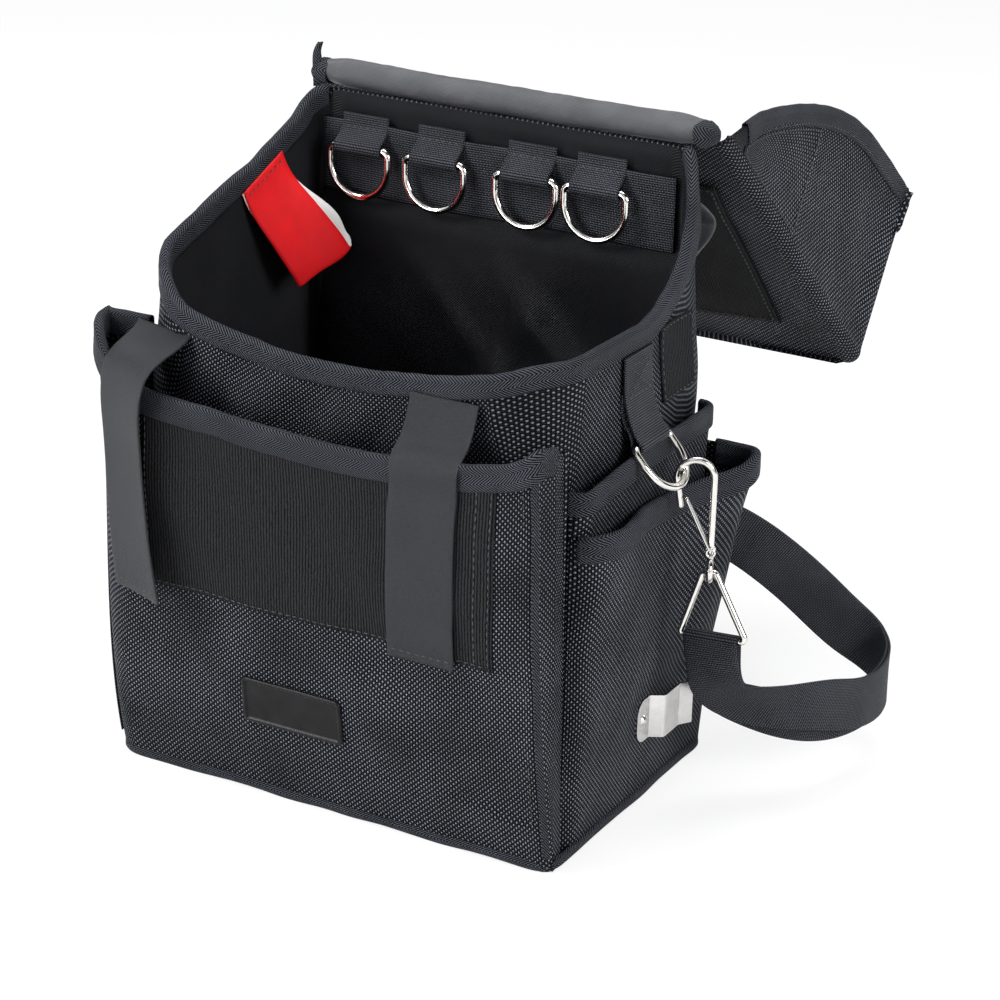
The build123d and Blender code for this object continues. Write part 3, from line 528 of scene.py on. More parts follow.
def rounded_plan(half, front, back, r_front, r_back, n_side=34, n_corner=9):
    """Points and outward normals round a rectangle with rounded corners, from the back's middle by the left."""
    points, normals = [(0, back)], [(0, 1)]

    def line(a, b, normal, count):
        for t in np.linspace(0, 1, count, endpoint=False)[1:]:
            points.append((a[0] + (b[0] - a[0]) * t, a[1] + (b[1] - a[1]) * t))
            normals.append(normal)

    def corner(x, y, r, start):
        normals.extend(arc(0, 0, 1, start, start + 90, n_corner))
        points.extend(arc(x, y, r, start, start + 90, n_corner))

    line((0, back), (r_back - half, back), (0, 1), n_side // 2)
    corner(r_back - half, back - r_back, r_back, 90)
    line((-half, back - r_back), (-half, front + r_front), (-1, 0), n_side)
    corner(r_front - half, front + r_front, r_front, 180)
    line((r_front - half, front), (half - r_front, front), (0, -1), n_side)
    corner(half - r_front, front + r_front, r_front, 270)
    line((half, front + r_front), (half, back - r_back), (1, 0), n_side)
    corner(half - r_back, back - r_back, r_back, 0)
    line((half - r_back, back), (0, back), (0, 1), n_side // 2)
    return np.array(points), np.array(normals)


def rim_height(x, y):
    """How high the rim stands over each point of the bag's plan."""
    left = FRONT_HEIGHT + np.interp(y, *zip(*LEFT_RIM))
    right = FRONT_HEIGHT + np.interp(y, *zip(*RIGHT_RIM))
    side = np.where(x < 0, left, right)
    sag = FRONT_SAG * np.clip(1 - (x / 108.0) ** 2, 0, None) * (y < -60)
    return side - sag + 6 * bell(x + 117, 10) * (y < -70) * 0.3


@functools.cache
def plan_at(z):
    """The bag's plan at a whole height. The front corners go soft towards the rim."""
    return rounded_plan(float(body_half(z)), -HALF_DEPTH, HALF_DEPTH, float(16 + 18 * ease((z - 120) / 140)), 17.0)


def make_plan(z):
    return plan_at(int(round(z)))


def slack(x, y, z):
    """How far the walls stand off their straight form: a bulge on the sides, creases and a soft front."""
    p = spots(x, y, z)
    calm = 1 - 0.75 * ease((y - 60) / 18) * ease((z - 200) / 60)
    wide = (bumps(p, 62.0, 1) * 2.6 + bumps(p, 24.0, 2) * 1.0) * calm
    sides = np.clip((np.abs(x) - 105) / 15, 0, 1) * bell(y + 8, 42) * ease((z - 170) / 40) * 2.5
    front = (y < -HALF_DEPTH + 12) * np.cos(np.clip(x / 118, -1, 1) * math.pi / 2) * ease((z - 190) / 50) * 3.0
    window = ease((x + 92) / 16) * ease((38 - x) / 16) + ease((x - 88) / 10) * ease((112 - x) / 10)
    front = front + (y < -HALF_DEPTH + 12) * window * 2.6 * np.sin(x / 8.2 + 1.1 * np.sin(z / 23)) * bell(z - 219, 17)
    quiet = ease(z / 25.0)
    return wide * quiet + sides + front


def body_rows(levels, grow=0.0, drop=0.0, bottom=0.0):
    """Rows of points up the bag's wall, from its bottom to its rim less a drop."""
    plan, _ = make_plan(0)
    count = len(plan)
    top_plan = np.array([make_plan(260)[0][k] for k in range(count)])
    rims = rim_height(top_plan[:, 0], top_plan[:, 1]) - drop
    rows = []
    for t in levels:
        z = bottom + (rims - bottom) * t
        row = np.zeros((count, 3))
        for k in range(count):
            plan_k, normals_k = make_plan(z[k])
            row[k, :2] = plan_k[k] + normals_k[k] * grow
            row[k, 2] = z[k]
        rows.append(row)
    rows = np.array(rows)
    normals = np.array([[make_plan(z)[1][k] for k, z in enumerate(row[:, 2])] for row in rows])
    push = slack(rows[..., 0], rows[..., 1], rows[..., 2])
    rows[..., :2] += normals * push[..., None]
    return rows, normals


def smooth_loop(values, times):
    for _ in range(times):
        values = (np.roll(values, 1, axis=0) + 2 * values + np.roll(values, -1, axis=0)) / 4
    return values


def make_shell():
    levels = np.concatenate([[0.0, 0.008, 0.02], np.linspace(0.04, 1.0, 46)])
    rows, normals = body_rows(levels)
    foot = np.concatenate([rows[0][:, :2] - normals[0] * 2.0, np.full((len(rows[0]), 1), 0.3)], axis=1)
    base = [foot * [s, s, 1] for s in np.linspace(0.05, 1.0, 9)]
    rows[0][:, 2] = 1.2
    cloth("bag_shell", np.concatenate([base, rows]), FABRIC, thickness=WALL - 0.6, wrap=True,
          replaces="main_shell")


def make_lining():
    """The loose lining, with folds that hang from the back wall's band and a seam down the middle."""
    levels = np.linspace(0, 1, 44)
    drop = np.where(make_plan(0)[1][:, 1] > 0.9, 0.5, 7.0)
    rows, normals = body_rows(levels, grow=-WALL - 0.9, drop=drop, bottom=6.0)
    x, y, z = rows[..., 0], rows[..., 1], rows[..., 2]
    back = (normals[..., 1] > 0.7) & (z < BAND_LO[2] - 4)
    depth = ease((BAND_LO[2] - 4 - z) / 60)
    folds = (4.2 * np.cos(x / 17 + 0.9 * np.sin(z / 38)) + 3.6 * np.cos((x - 0.55 * z) / 26)) * depth
    seam = 3.2 * bell(x - 14, 3.5) * depth
    crease = (6.0 * bell(x - 52 + (z - 190) * 0.75, 9) + 5.0 * bell(x - 8 - (z - 200) * 0.5, 8)
              + 5.0 * bell(x + 30 + (z - 230) * 0.9, 8)) * depth
    sides = (np.abs(normals[..., 0]) > 0.7) * (2.2 * np.sin(y / 15 + z / 40)) * ease((240 - z) / 60)
    inward = np.where(back, 6.5 + folds - seam + crease, 0.0) + sides + 1.2
    inward = np.clip(inward, 0.3, None)
    rows[..., :2] -= normals * inward[..., None] * ease((1 - levels[:, None]) * 9)[..., None]
    base = [rows[0] * [s, s, 1] + [0, 0, 1.5 * (1 - s)] for s in np.linspace(0.05, 0.96, 8)]
    cloth("bag_lining", np.concatenate([base, rows]), LINING, thickness=0.7, offset=1.0, wrap=True,
          replaces="inner_lining")


def edge_tape(name, path, outward, up, body="bag", replaces=(), width=TAPE_WIDTH, wall=WALL, tape=0.9):
    """Binding tape folded over an edge, its two stitched rows, and the tape's own small waves."""
    outward, up = unit(outward), unit(up)
    out, inside = tape, -wall - tape
    fold = arc((inside + out) / 2, 0, (out - inside) / 2, 0, 180, 7, tall=0.8)
    outside = [(out * 0.5, -width), (out, -width + 0.8), (out * 1.1, -width * 0.62), (out, -width * 0.3)]
    hidden = [(inside, -width * 0.3), (inside * 1.02, -width * 0.62), (inside, -width + 0.8),
              (inside + 0.4 * out, -width)]
    profile = np.array(outside + fold + hidden)
    ripple = bumps(path, 9.0, 5) * 0.45
    rows = (path[:, None] + outward[:, None] * profile[None, :, :1]
            + up[:, None] * (profile[None, :, 1:2] + ripple[:, None, None]))
    cloth(name, rows, TAPE, body, thickness=0.7, replaces=replaces)
    for depth, side in ((width - 2.0, out), (width - 2.4, inside)):
        seams.add(path + outward * side - up * depth, outward * np.sign(side), body, length=2.4, gap=1.6)


def make_rim_binding():
    """From the hinge's left end round the front to its right end."""
    rows, normals = body_rows([1.0])
    keep = normals[0][:, 1] <= 0.9
    path, normals = rows[0][keep], np.pad(normals[0][keep], ((0, 0), (0, 1)))
    s = lengths(path)
    path = resample(path, int(s[-1] / 3.2))
    normals = unit(read(normals, s, np.linspace(0, s[-1], len(path))))
    edge_tape("rim_tape", path, normals, upward(path, normals), replaces="rim_binding", width=RIM_TAPE)


make_shell()
make_lining()
make_rim_binding()


# ---------------------------------------------------------------- front pocket

POCKET_TOP_HALF = POCKET_HI[0]
POCKET_LEFT = (POCKET_HI[0] - 1.0, POCKET_HI[0] + 11.0)      # half widths at its base and its mouth
POCKET_RIGHT = (POCKET_HI[0] - 2.5, POCKET_HI[0] - 9.0)
POCKET_END = POCKET_HI[1]
POCKET_SPAN = (0, 242)      # the heights of its base and its mouth's ends
POCKET_FABRIC = 2.2
PANEL_LO, PANEL_HI = box_mm("loop_panel")
PLATE_LO, PLATE_HI = box_mm("name_plate")
MOUTH = ((-145, 240), (-138, 239), (-129, 231), (-97, 214.5), (-67, 212), (-8, 208), (44, 209), (94, 214),
         (120, 223), (136, 236))


def mouth_height(x):
    return spline(*zip(*MOUTH), x)


def pocket_bulge(z):
    return 6 + 16 * (1 - (1 - np.clip(z, *POCKET_SPAN) / POCKET_SPAN[1]) ** 3)


def pocket_ripple(x, z):
    """The pocket's creases, which die away under the plate and at its base."""
    p = spots(x, 0, z)
    slant = spots(0.75 * x + 0.66 * z, 0, (0.75 * z - 0.66 * x) * 0.3)
    soft = bumps(p, 58.0, 11) * 3.0 + bumps(p, 26.0, 12) * 0.8 + bumps(slant, 27.0, 14) * 1.9
    sag = -2.2 * bell(z - 96, 16) * (0.6 + 0.4 * np.sin(x / 37))
    calm = 1 - 0.8 * np.exp(-(((x - (PLATE_LO[0] + PLATE_HI[0]) / 2) / 42) ** 4 + ((z - 57) / 24) ** 4))
    return (soft + sag) * calm * ease(z / 22) * ease((POCKET_TOP_HALF - np.abs(x)) / 14)


def pocket_face(x, z, out=0.0):
    """Points on the pocket's front, moved out by a layer."""
    x, z = np.broadcast_arrays(np.asarray(x, float), np.asarray(z, float))
    left = pocket_left_corner(z)
    past = np.clip(-x - (np.interp(z, POCKET_SPAN, POCKET_LEFT) - left), 0, left - 0.01)
    y = -HALF_DEPTH - pocket_bulge(z) - pocket_ripple(x, z) - out
    return spots(x, y + left - np.sqrt(left ** 2 - past ** 2), z)


def pocket_left_corner(z):
    return 12 + 22 * ease(z / 200)


def pocket_plan(z):
    west, half = (float(np.interp(z, POCKET_SPAN, ends)) for ends in (POCKET_LEFT, POCKET_RIGHT))
    front = -HALF_DEPTH - float(pocket_bulge(z))
    left, right = float(pocket_left_corner(z)), 6.0
    wall, tuck = float(body_half(z)), 6.0 * float(ease((z - 165) / 45))
    points = [(tuck - wall, POCKET_END + 2), (tuck - wall - 2, POCKET_END - 0.5), (-west + 2.5, POCKET_END - 2)]
    points += arc(left - west, front + left, left, 180, 270, 14)
    points += [(x, front) for x in np.linspace(left - west, half - right, 72)[1:-1]]
    points += arc(half - right, front + right, right, 270, 360, 7)
    return np.array(points + [(half, POCKET_END - 14), (half - 2.5, POCKET_END - 2), (wall + 2, POCKET_END - 0.5),
                              (wall, POCKET_END + 2)])


def pocket_rows():
    plan = pocket_plan(215)
    tops = mouth_height(plan[:, 0])
    back = ease((plan[:, 1] + 100) / 28)
    tops = np.where(plan[:, 0] > 118, tops - 7 * back, np.where(plan[:, 0] < -118, tops + (241 - tops) * back, tops))
    rows = np.array([[[*pocket_plan(z)[k], z] for k, z in enumerate(tops * t)] for t in np.linspace(0, 1, 54)])
    rows[..., 1] -= pocket_ripple(rows[..., 0], rows[..., 2]) * (rows[..., 1] < -95)
    return rows


def outline_normals(row):
    run = tangents(row)
    return unit(np.stack([run[:, 1], -run[:, 0], 0 * run[:, 0]], axis=1))


def make_front_pocket():
    rows = pocket_rows()
    cloth("pocket_front", rows, FABRIC, thickness=POCKET_FABRIC - 0.4, replaces="front_pocket")
    mouth = resample(rows[-1][1:-3], 150)
    out = outline_normals(mouth)
    edge_tape("pocket_front_tape", mouth, out, upward(mouth, out), replaces="front_pocket_binding",
              wall=POCKET_FABRIC)
    for name, k, width in (("left", 5, 8.0), ("right", -8, 4.0)):
        out = np.array([outline_normals(row)[k] for row in rows[2:-1]])
        ribbon(f"pocket_front_seam_{name}", rows[2:-1, k] + out * 0.7, np.cross([0, 0, 1.0], out), width, 0.9, TAPE,
               face=out, points=6)
    seams.add(rows[:, -9] + [-4.5, -0.2, 0], FORWARD, length=3.0, gap=1.4)


def make_loop_panel():
    """The loop panel, sewn round all its edges, with a strip past its right end."""
    x = np.linspace(PANEL_LO[0], PANEL_HI[0], 90)
    tops = mouth_height(x) - TAPE_WIDTH + 1.0
    share = np.linspace(0, 1, 40)[:, None]
    z = PANEL_LO[2] + (tops - PANEL_LO[2]) * share + 0.5 * np.sin(x / 23) * (1 - share)
    rows = pocket_face(np.broadcast_to(x, z.shape), z, 1.5)
    edge = np.minimum(np.minimum(x - x[0], x[-1] - x)[None], np.broadcast_to(z - z[0], z.shape))
    rows[..., 1] += 0.9 * np.exp(-np.clip(edge, 0, None) / 1.4)
    cloth("panel_loop", rows, PILE, thickness=1.4, replaces="loop_panel")
    seams.add(pocket_face(x[2:-2], z[0][2:-2] + 2.2, 1.5), FORWARD, lift=0.0, **FINE)
    for place, top in ((x[0] + 2.2, tops[0]), (x[-1] - 2.2, tops[-1]), (x[-1] - 10, tops[-1])):
        line = pocket_face(place, np.linspace(PANEL_LO[2] + 2, top - 2, 30), 1.5)
        seams.add(line, FORWARD, lift=0.0, **FINE)


def make_plate():
    """A bare rubber plate: a raised border with rounded corners round a sunk field."""
    middle, (half_w, _, half_h) = (PLATE_LO + PLATE_HI) / 2, (PLATE_HI - PLATE_LO) / 2
    rings = ((0.0, -0.6), (0.0, 1.5), (0.45, 1.95), (1.7, 2.0), (2.1, 1.7), (2.35, 1.15), (3.0, 1.05), (6.0, 1.05),
             (half_h - 0.5, 1.1))
    rows = []
    for inset, out in rings:
        r = max(3.2 - inset, 0.4)
        outline = []
        for cx, cz, start in ((1, 1, 0), (-1, 1, 90), (-1, -1, 180), (1, -1, 270)):
            outline += arc(cx * (half_w - inset - r), cz * (half_h - inset - r), r, start, start + 90, 7)
            if cx == cz:
                x, z = outline[-1]
                outline += [(x * (1 - 2 * t), z) for t in np.linspace(0, 1, 14)[1:-1]]
        outline = np.array(outline) + middle[[0, 2]]
        rows.append(pocket_face(outline[:, 0], outline[:, 1]) + [0, -out, 0])
    cloth("plate_rubber", rows, RUBBER, wrap=True, replaces="name_plate")
    n = len(rows[-1])
    faces = [[n * (len(rows) - 1) + k for k in range(n)]]
    settle(mesh_object("plate_field", np.concatenate(rows), faces, np.zeros((n, 2)), RUBBER), "bag")


# ---------------------------------------------------------------- hanging hook tapes

STRAP_TAPE = 1.5
STRAP_WIDTH = 38.0
HEM = np.linspace(-17, 17, 16)      # places across a tape for the stitches of its hem


def hang_strap(side, path, across, cup):
    tape = ribbon(f"strap_hook_{side}", path, across, STRAP_WIDTH, STRAP_TAPE, HOOK_TAPE, cup=cup,
                  replaces=f"hook_strap_{side}")


def make_right_hook_strap():
    lo, hi = box_mm("hook_strap_right")
    centre = (lo[0] + hi[0]) / 2
    rim = float(rim_height(centre, -HALF_DEPTH)) - RIM_TAPE
    wall = -HALF_DEPTH - float(slack(centre, -HALF_DEPTH, rim))
    lip = pocket_face(centre, 210)[1]
    points = [(centre, wall - 1.6, rim + 0.5), (centre, wall - 3.2, rim - 4), (centre, lip + 7, 219),
              (centre + 0.3, lip - 2.6, 211), (centre + 0.4, lip - 3.2, 200)]
    points += [(centre - (200 - z) * 0.008, pocket_face(centre, z)[1] - 2.9, z)
               for z in np.linspace(186, lo[2] + 10, 8)]
    path = curve(points + [(centre - 0.8, pocket_face(centre, lo[2])[1] - 4.3, lo[2])], 90)
    hang_strap("right", path, RIGHT, 0.6)
    seams.add(spots(HEM + centre, path[-4][1] - 1.1, path[-4][2]), FORWARD, lift=0.0)


def make_left_hook_strap():
    """It leaves the rim at its rounded corner and turns round the pocket's corner."""
    lowest = box_mm("hook_strap_left")[0][2]
    lean = math.radians(25.0)
    v = np.linspace(-0.5, 0.5, 21) * STRAP_WIDTH

    def clear_of_pocket(x, z):
        """The depth at which the tilted tape just clears the pocket's corner."""
        place = x + v * math.cos(lean)
        surface = pocket_face(place, np.minimum(z, mouth_height(place)))[:, 1]
        return float(np.min(surface + v * math.sin(lean))) - STRAP_TAPE / 2 - 2.4

    points = [(-103.0, -80.5, 241.5), (-103.3, -86.5, 238.5)]
    for x, z in ((-106.0, 228), (-108.5, 217), (-109.5, 204), (-109.3, 190), (-108.2, 170), (-106.4, 148),
                 (-104.2, 128), (-101.5, lowest)):
        points.append((x, clear_of_pocket(x, z) + (3.0 if z > 220 else 0.0 if z > 190 else 1.0), z))
    path = curve(points, 90)
    turn = np.radians(spline([0, 0.2, 0.4, 1.0], [9.0, 21.0, 25.0, 20.0], np.linspace(0, 1, 90)))
    across = spots(np.cos(turn), -np.sin(turn), 0)
    hang_strap("left", path, across, 1.0)
    out = np.cross(unit(across[-4]), [0, 0, 1.0])
    seams.add(path[-4] + unit(across[-4]) * HEM[:, None] + out * 1.6, out, lift=0.0)


# ---------------------------------------------------------------- side pockets

SIDE_LO, SIDE_HI = box_mm("side_pocket_right")
CLIP_LO, CLIP_HI = box_mm("tape_clip")
CLIP_Y, CLIP_Z = (CLIP_LO[1] + CLIP_HI[1]) / 2, (CLIP_LO[2] + CLIP_HI[2]) / 2
CLIP_FOOT = CLIP_LO[0] - 0.2
FLAT_LO, FLAT_HI = box_mm("flat_pocket_right")


def flip(points, side):
    """Mirrors a path or a grid drawn for the right side, and keeps its faces' outsides out."""
    return points if side == "right" else points[..., ::-1, :] * [-1, 1, 1]


def make_side_pouch(kind, side, rows, mouth, up, thickness, **tape):
    """A pocket on the side wall, with the tape round its mouth."""
    cloth(f"pocket_{kind}_{side}", flip(rows, side), FABRIC, thickness=thickness, replaces=f"{kind}_pocket_{side}")
    edge_tape(f"pocket_{kind}_tape_{side}", flip(mouth, side), flip(outline_normals(mouth), side), flip(up, side),
              replaces=f"{kind}_pocket_binding_{side}", **tape)


def side_plan(front_out, middle_out, back_out):
    """The side pocket's plan, which stands off the wall by these amounts at its front, middle and back."""
    front, back = SIDE_LO[1], SIDE_HI[1]
    points = ((-0.5, front), (0.8 * front_out, front + 5), (front_out, front + 16), (middle_out, -8),
              (0.44 * (middle_out + back_out), 42), (0.98 * back_out, back - 11), (0.86 * back_out, back - 3),
              (0.3 * back_out, back + 0.5), (-0.5, back))
    return curve([(BASE_HALF + out, y) for out, y in points], 76)


def make_side_pocket(side):
    """The flared outer pocket: flat at its base, open at its mouth and most of all at its back corner."""
    top = SIDE_HI[2]
    rows = []
    for t in np.linspace(0, 1, 44):
        z = top * t
        share = t ** 1.15
        plan = side_plan(6 + 12 * share, 6 + 8 * share, 6 + 28 * share ** 1.25)
        y = plan[:, 1]
        lift = 4.0 * bell(y - 76, 16) - 3.0 * bell(y - 20, 30) + 2.0 * bell(y + 62, 12)
        row = np.concatenate([plan, (z + lift * t)[:, None]], axis=1)
        creases = bumps(row, 48.0, 21) * 1.9 + bumps(row, 20.0, 22) * 0.6
        row[:, 0] += creases * ease(t * 5) * (row[:, 0] > BASE_HALF + 3)
        at_clip = np.exp(-((row[:, 1] - CLIP_Y) / 30) ** 4 - ((row[:, 2] - CLIP_Z) / 24) ** 4)
        row[:, 0] -= at_clip * np.clip(row[:, 0] - CLIP_FOOT, 0, None)
        rows.append(row)
    rows = np.array(rows)
    mouth = resample(rows[-1][2:-2], 110)
    make_side_pouch("side", side, rows, mouth, upward(mouth, outline_normals(mouth)), 1.6, wall=2.0)


def make_flat_pocket(side):
    front, back = FLAT_LO[1], FLAT_HI[1]
    rows = []
    for t in np.linspace(0, 1, 30):
        gape = 2.2 + 6.4 * t ** 1.4
        r, x = min(10.0, 3 + gape), BASE_HALF + gape
        outline = [(x - r * 0.8 + r * 0.8 * math.sin(a), front + r - r * math.cos(a))
                   for a in np.linspace(0.4, math.pi / 2, 6)]
        outline += [(x, y) for y in np.linspace(front + r, back - r, 36)[1:-1]]
        outline += [(x - r * 0.8 + r * 0.8 * math.cos(a), back - r + r * math.sin(a))
                    for a in np.linspace(0, math.pi / 2 - 0.4, 6)]
        outline = np.array([(BASE_HALF - 0.8, front)] + outline + [(BASE_HALF - 0.8, back)])
        y = outline[:, 1]
        lift = 2.2 * np.sin((y + 30) / 26) + 2.5 * ease((y - 30) / 40)
        row = spots(outline[:, 0], y, FLAT_HI[2] * t + lift * t)
        row[:, 0] += bumps(row, 30.0, 25) * 1.1 * t * (row[:, 0] > BASE_HALF + 1)
        rows.append(row)
    rows = np.array(rows)
    mouth = resample(rows[-1], 90)
    make_side_pouch("flat", side, rows, mouth, np.array([[0, 0, 1.0]] * len(mouth)), 1.4, wall=1.6,
                    width=TAPE_WIDTH - 1, tape=0.7)


def sew_round(rows, inset, normals, shift=(0, 0, 0), **stitch):
    """Stitches just inside a patch's four edges."""
    middle = rows.reshape(-1, 3).mean(axis=0)
    for line in (rows[0], rows[-1], rows[:, 0], rows[:, -1]):
        seams.add(line + (middle - line) * inset + shift, normals, **stitch)


def make_side_patch(side):
    """A patch on the side wall, which follows the wall's slack."""
    lo, hi = box_mm(f"side_patch_{side}")
    y, z = np.meshgrid(np.linspace(lo[1], hi[1], 14), np.linspace(lo[2], min(hi[2], FRONT_HEIGHT - 6), 16))
    sign = 1 if side == "right" else -1
    rows = flip(spots(body_half(z) + slack(sign * body_half(z), y, z) + 1.5, y, z), side)
    cloth(f"patch_side_{side}", rows, PILE, thickness=1.4, replaces=f"side_patch_{side}")
    sew_round(rows, 0.06, (sign, 0, 0), lift=0.0)


def base_piping():
    """The taped seam round the foot of the pockets and the back."""
    front = pocket_plan(0)
    right = side_plan(6, 6, 6)[6:-3]
    left = (right * [-1, 1])[::-1]
    back = np.array([(x, HALF_DEPTH + 0.6) for x in np.linspace(BASE_HALF - 8, 8 - BASE_HALF, 30)])
    loop = np.concatenate([front[6:-5], right, back, left])
    loop = resample(np.concatenate([loop, loop[:1]]), 420)[:-1]
    loop = smooth_loop(loop, 14)
    path = np.pad(loop, ((0, 0), (0, 1)), constant_values=2.6)
    path[:, 2] += bumps(path * [1, 1, 0], 26.0, 31) * 0.9
    run = unit(np.roll(path, -1, axis=0) - np.roll(path, 1, axis=0))
    out = unit(np.cross(run, [0, 0, 1.0]))
    profile = np.array([(-0.4, 2.9), (1.3, 2.6), (2.1, 1.2), (2.2, -1.0), (1.4, -2.3), (-0.4, -2.5)])
    rows = path[:, None] + out[:, None] * profile[None, :, :1]
    rows[..., 2] += profile[:, 1]
    cloth("piping_base", np.concatenate([rows, rows[:1]]), TAPE)


make_front_pocket()
make_loop_panel()
make_plate()
make_right_hook_strap()
make_left_hook_strap()
for side in ("left", "right"):
    make_flat_pocket(side)
    make_side_pocket(side)
    make_side_patch(side)
base_piping()


# ---------------------------------------------------------------- webbing, rings' loops and the label

WEBBING_WIDTH = 30.0
WEBBING_THICKNESS = 1.5
WIRE_RADIUS = 2.0
ROUND_WIRE = WIRE_RADIUS + 0.3 + WEBBING_THICKNESS / 2
SIDE_BAR = np.array([133.0, -1.0, 204.0])
INNER_BAR_HEIGHT = 304.0


def make_ring_tab(side):
    """Webbing from under the rim down the wall, round the side ring's bar and back up behind itself."""
    sign = 1 if side == "right" else -1

    def wall(z, out):
        return float(body_half(z) + slack(sign * BASE_HALF, SIDE_BAR[1], z) + out)

    points = [(wall(249, 2.0), 249), (wall(238, 2.2), 238), (wall(226, 2.6), 226), (129.6, 214.2)]
    points += arc(SIDE_BAR[0], SIDE_BAR[2], ROUND_WIRE, 58, -128, 8)
    points += [(129.8, 206.6), (wall(216, 1.0), 216), (wall(230, 0.9), 230)]
    path = curve([(x, SIDE_BAR[1], z) for x, z in points], 120)
    ribbon(f"tab_{side}", path * [sign, 1, 1], (0, sign, 0), WEBBING_WIDTH, WEBBING_THICKNESS, WEBBING, points=14,
           replaces=f"ring_tab_{side}")
    for y, z in (((-11, 11), (244, 228)), ((-11, 11), (228, 244)), ((-12, 12), (244, 244)), ((-12, 12), (228, 228))):
        line = [(sign * wall(z_at, 3.3), SIDE_BAR[1] + y_at, z_at)
                for y_at, z_at in zip(np.linspace(*y, 8), np.linspace(*z, 8))]
        seams.add(line, (sign, 0, 0))


def back_inner(x, z, out):
    """Points in front of the back wall's lining."""
    x, z = np.broadcast_arrays(np.asarray(x, float), np.asarray(z, float))
    return spots(x, HALF_DEPTH - WALL - 2.1 + slack(x, np.full(x.shape, HALF_DEPTH), z) - out, z)


def make_ring_band():
    """The webbing band across the back wall, sewn along both edges and in boxes between the rings."""
    x, z = np.meshgrid(np.linspace(BAND_HI[0], BAND_LO[0], 100), np.linspace(BAND_LO[2], BAND_HI[2], 14))
    rows = back_inner(x, z + 0.6 * np.sin(x / 19), 1.6)
    cloth("band_rings", rows, WEBBING, thickness=1.5, replaces="ring_band")
    line = np.linspace(BAND_LO[0] + 2, BAND_HI[0] - 2, 60)
    for height in (BAND_LO[2] + 2.5, BAND_LO[2] + 5.5, BAND_HI[2] - 3.0):
        seams.add(back_inner(line, height + 0.6 * np.sin(line / 19), 1.7), FORWARD, **FINE)
    centres = [sum(box_mm(f"inner_ring_{i}"))[0] / 2 for i in range(1, 5)]
    places = [centre + dx for centre in centres for dx in (-19.5, 19.5)] + [BAND_LO[0] + 4, BAND_HI[0] - 4]
    for place in places:
        seams.add(back_inner(place, np.linspace(BAND_LO[2] + 3, BAND_HI[2] - 3, 12), 1.7), FORWARD, **FINE)
    return centres


def make_ring_loops(centres):
    """Short webbing loops that carry the four inner rings."""
    bar_y = sum(box_mm("inner_ring_1"))[1] / 2
    for index, centre in enumerate(centres):
        face = float(back_inner(centre, 316.0, 2.4)[1])
        points = [(face, 320.5), (face - 0.4, 315), (face - 2.6, 311.4), (bar_y + 0.2, 308.0)]
        points += arc(bar_y, INNER_BAR_HEIGHT, ROUND_WIRE, 125, 300, 8)
        points += [(bar_y + 4.2, 302.8), (face - 0.2, 304.5), (face + 0.2, 309.0)]
        ribbon(f"loop_inner_{index + 1}", curve([(centre, y, z) for y, z in points], 70), RIGHT, WEBBING_WIDTH - 1.5,
               WEBBING_THICKNESS, WEBBING, replaces="ring_loops")
        for z, out in ((316.5, 1.0), (313.6, 1.4)):
            seams.add(spots(centre + np.linspace(-12, 12, 8), face - out, z), (0, -1, 0.3))


def make_label():
    """A red label folded double and sewn under the left rim; its pale inside shows where it gapes."""
    top = np.array([-112.4, 22.5, 297.0])
    across_top, across_end = unit([0.02, 0.92, 0.39]), unit([0.30, 0.85, 0.43])
    offsets = ((0, 0, 0), (2.5, 3, -10), (9.5, 11, -26), (16.5, 20, -42), (20.5, 27.5, -54.5), (20.0, 30.5, -59.0),
               (16.0, 29.5, -57.5), (13.2, 20.5, -42), (6.4, 11.0, -26), (1.0, 2.4, -10), (-0.9, -0.4, -1))
    path = curve(top + np.array(offsets), 96)
    s = lengths(path) / lengths(path)[-1]
    share = ease(np.minimum(s, 1 - s) * 2)
    across = unit(across_top * (1 - share)[:, None] + across_end * share[:, None])
    sides = unit(np.cross(across, tangents(path)))
    half, v = 19.0, np.linspace(-1, 1, 16)
    rows = []
    for p, a, side, at, bend in zip(path, across, sides, s, share):
        curl = 2.2 * bend * v ** 2 + 1.2 * bend * np.sin(3 * v + 5 * at)
        skew = 7.0 * ease((at - 0.47) * 12) * ease((1 - at) * 2.4)
        rows.append(p + a * (v * half + skew)[:, None] + side * curl[:, None])
    obj = cloth("label_red", np.array(rows)[:, ::-1], RED, thickness=0.5, offset=0.0, replaces="care_label")
    obj.data.materials.append(WHITE)
    obj.modifiers["Thickness"].material_offset = 1
    obj.modifiers["Thickness"].material_offset_rim = 0
    seams.add(top + [1.6, 0.4, -3.2] + across_top * np.linspace(-17, 17, 12)[:, None], (1, -0.3, 0.2))


# ---------------------------------------------------------------- shoulder strap

# each point's place from the ring's bar, and how upright the webbing stands there
STRAP_ROUTE = (
    (0.6, 0.1, -7.0, 0.0), (2.0, 0.5, -19.0, 0.0), (3.0, 9.0, -33.0, 0.25), (9.0, 21.0, -43.0, 0.55),
    (21.0, 35.0, -51.0, 0.8), (33.0, 51.0, -57.0, 0.95), (43.0, 71.0, -61.0, 1.0), (50.0, 93.0, -61.0, 1.0),
    (51.0, 113.0, -59.0, 1.0), (45.0, 128.0, -55.0, 1.0), (33.0, 134.0, -48.0, 1.0), (20.0, 130.0, -37.0, 1.0),
    (4.0, 119.0, -18.0, 1.0), (-14.0, 106.0, 2.0, 1.0), (-34.0, 92.0, 19.0, 1.0), (-60.0, 79.0, 31.0, 1.0),
    (-96.0, 73.5, 38.0, 1.0), (-122.0, 73.0, 38.0, 1.0),
)
HOOK_WIRE = 3.5


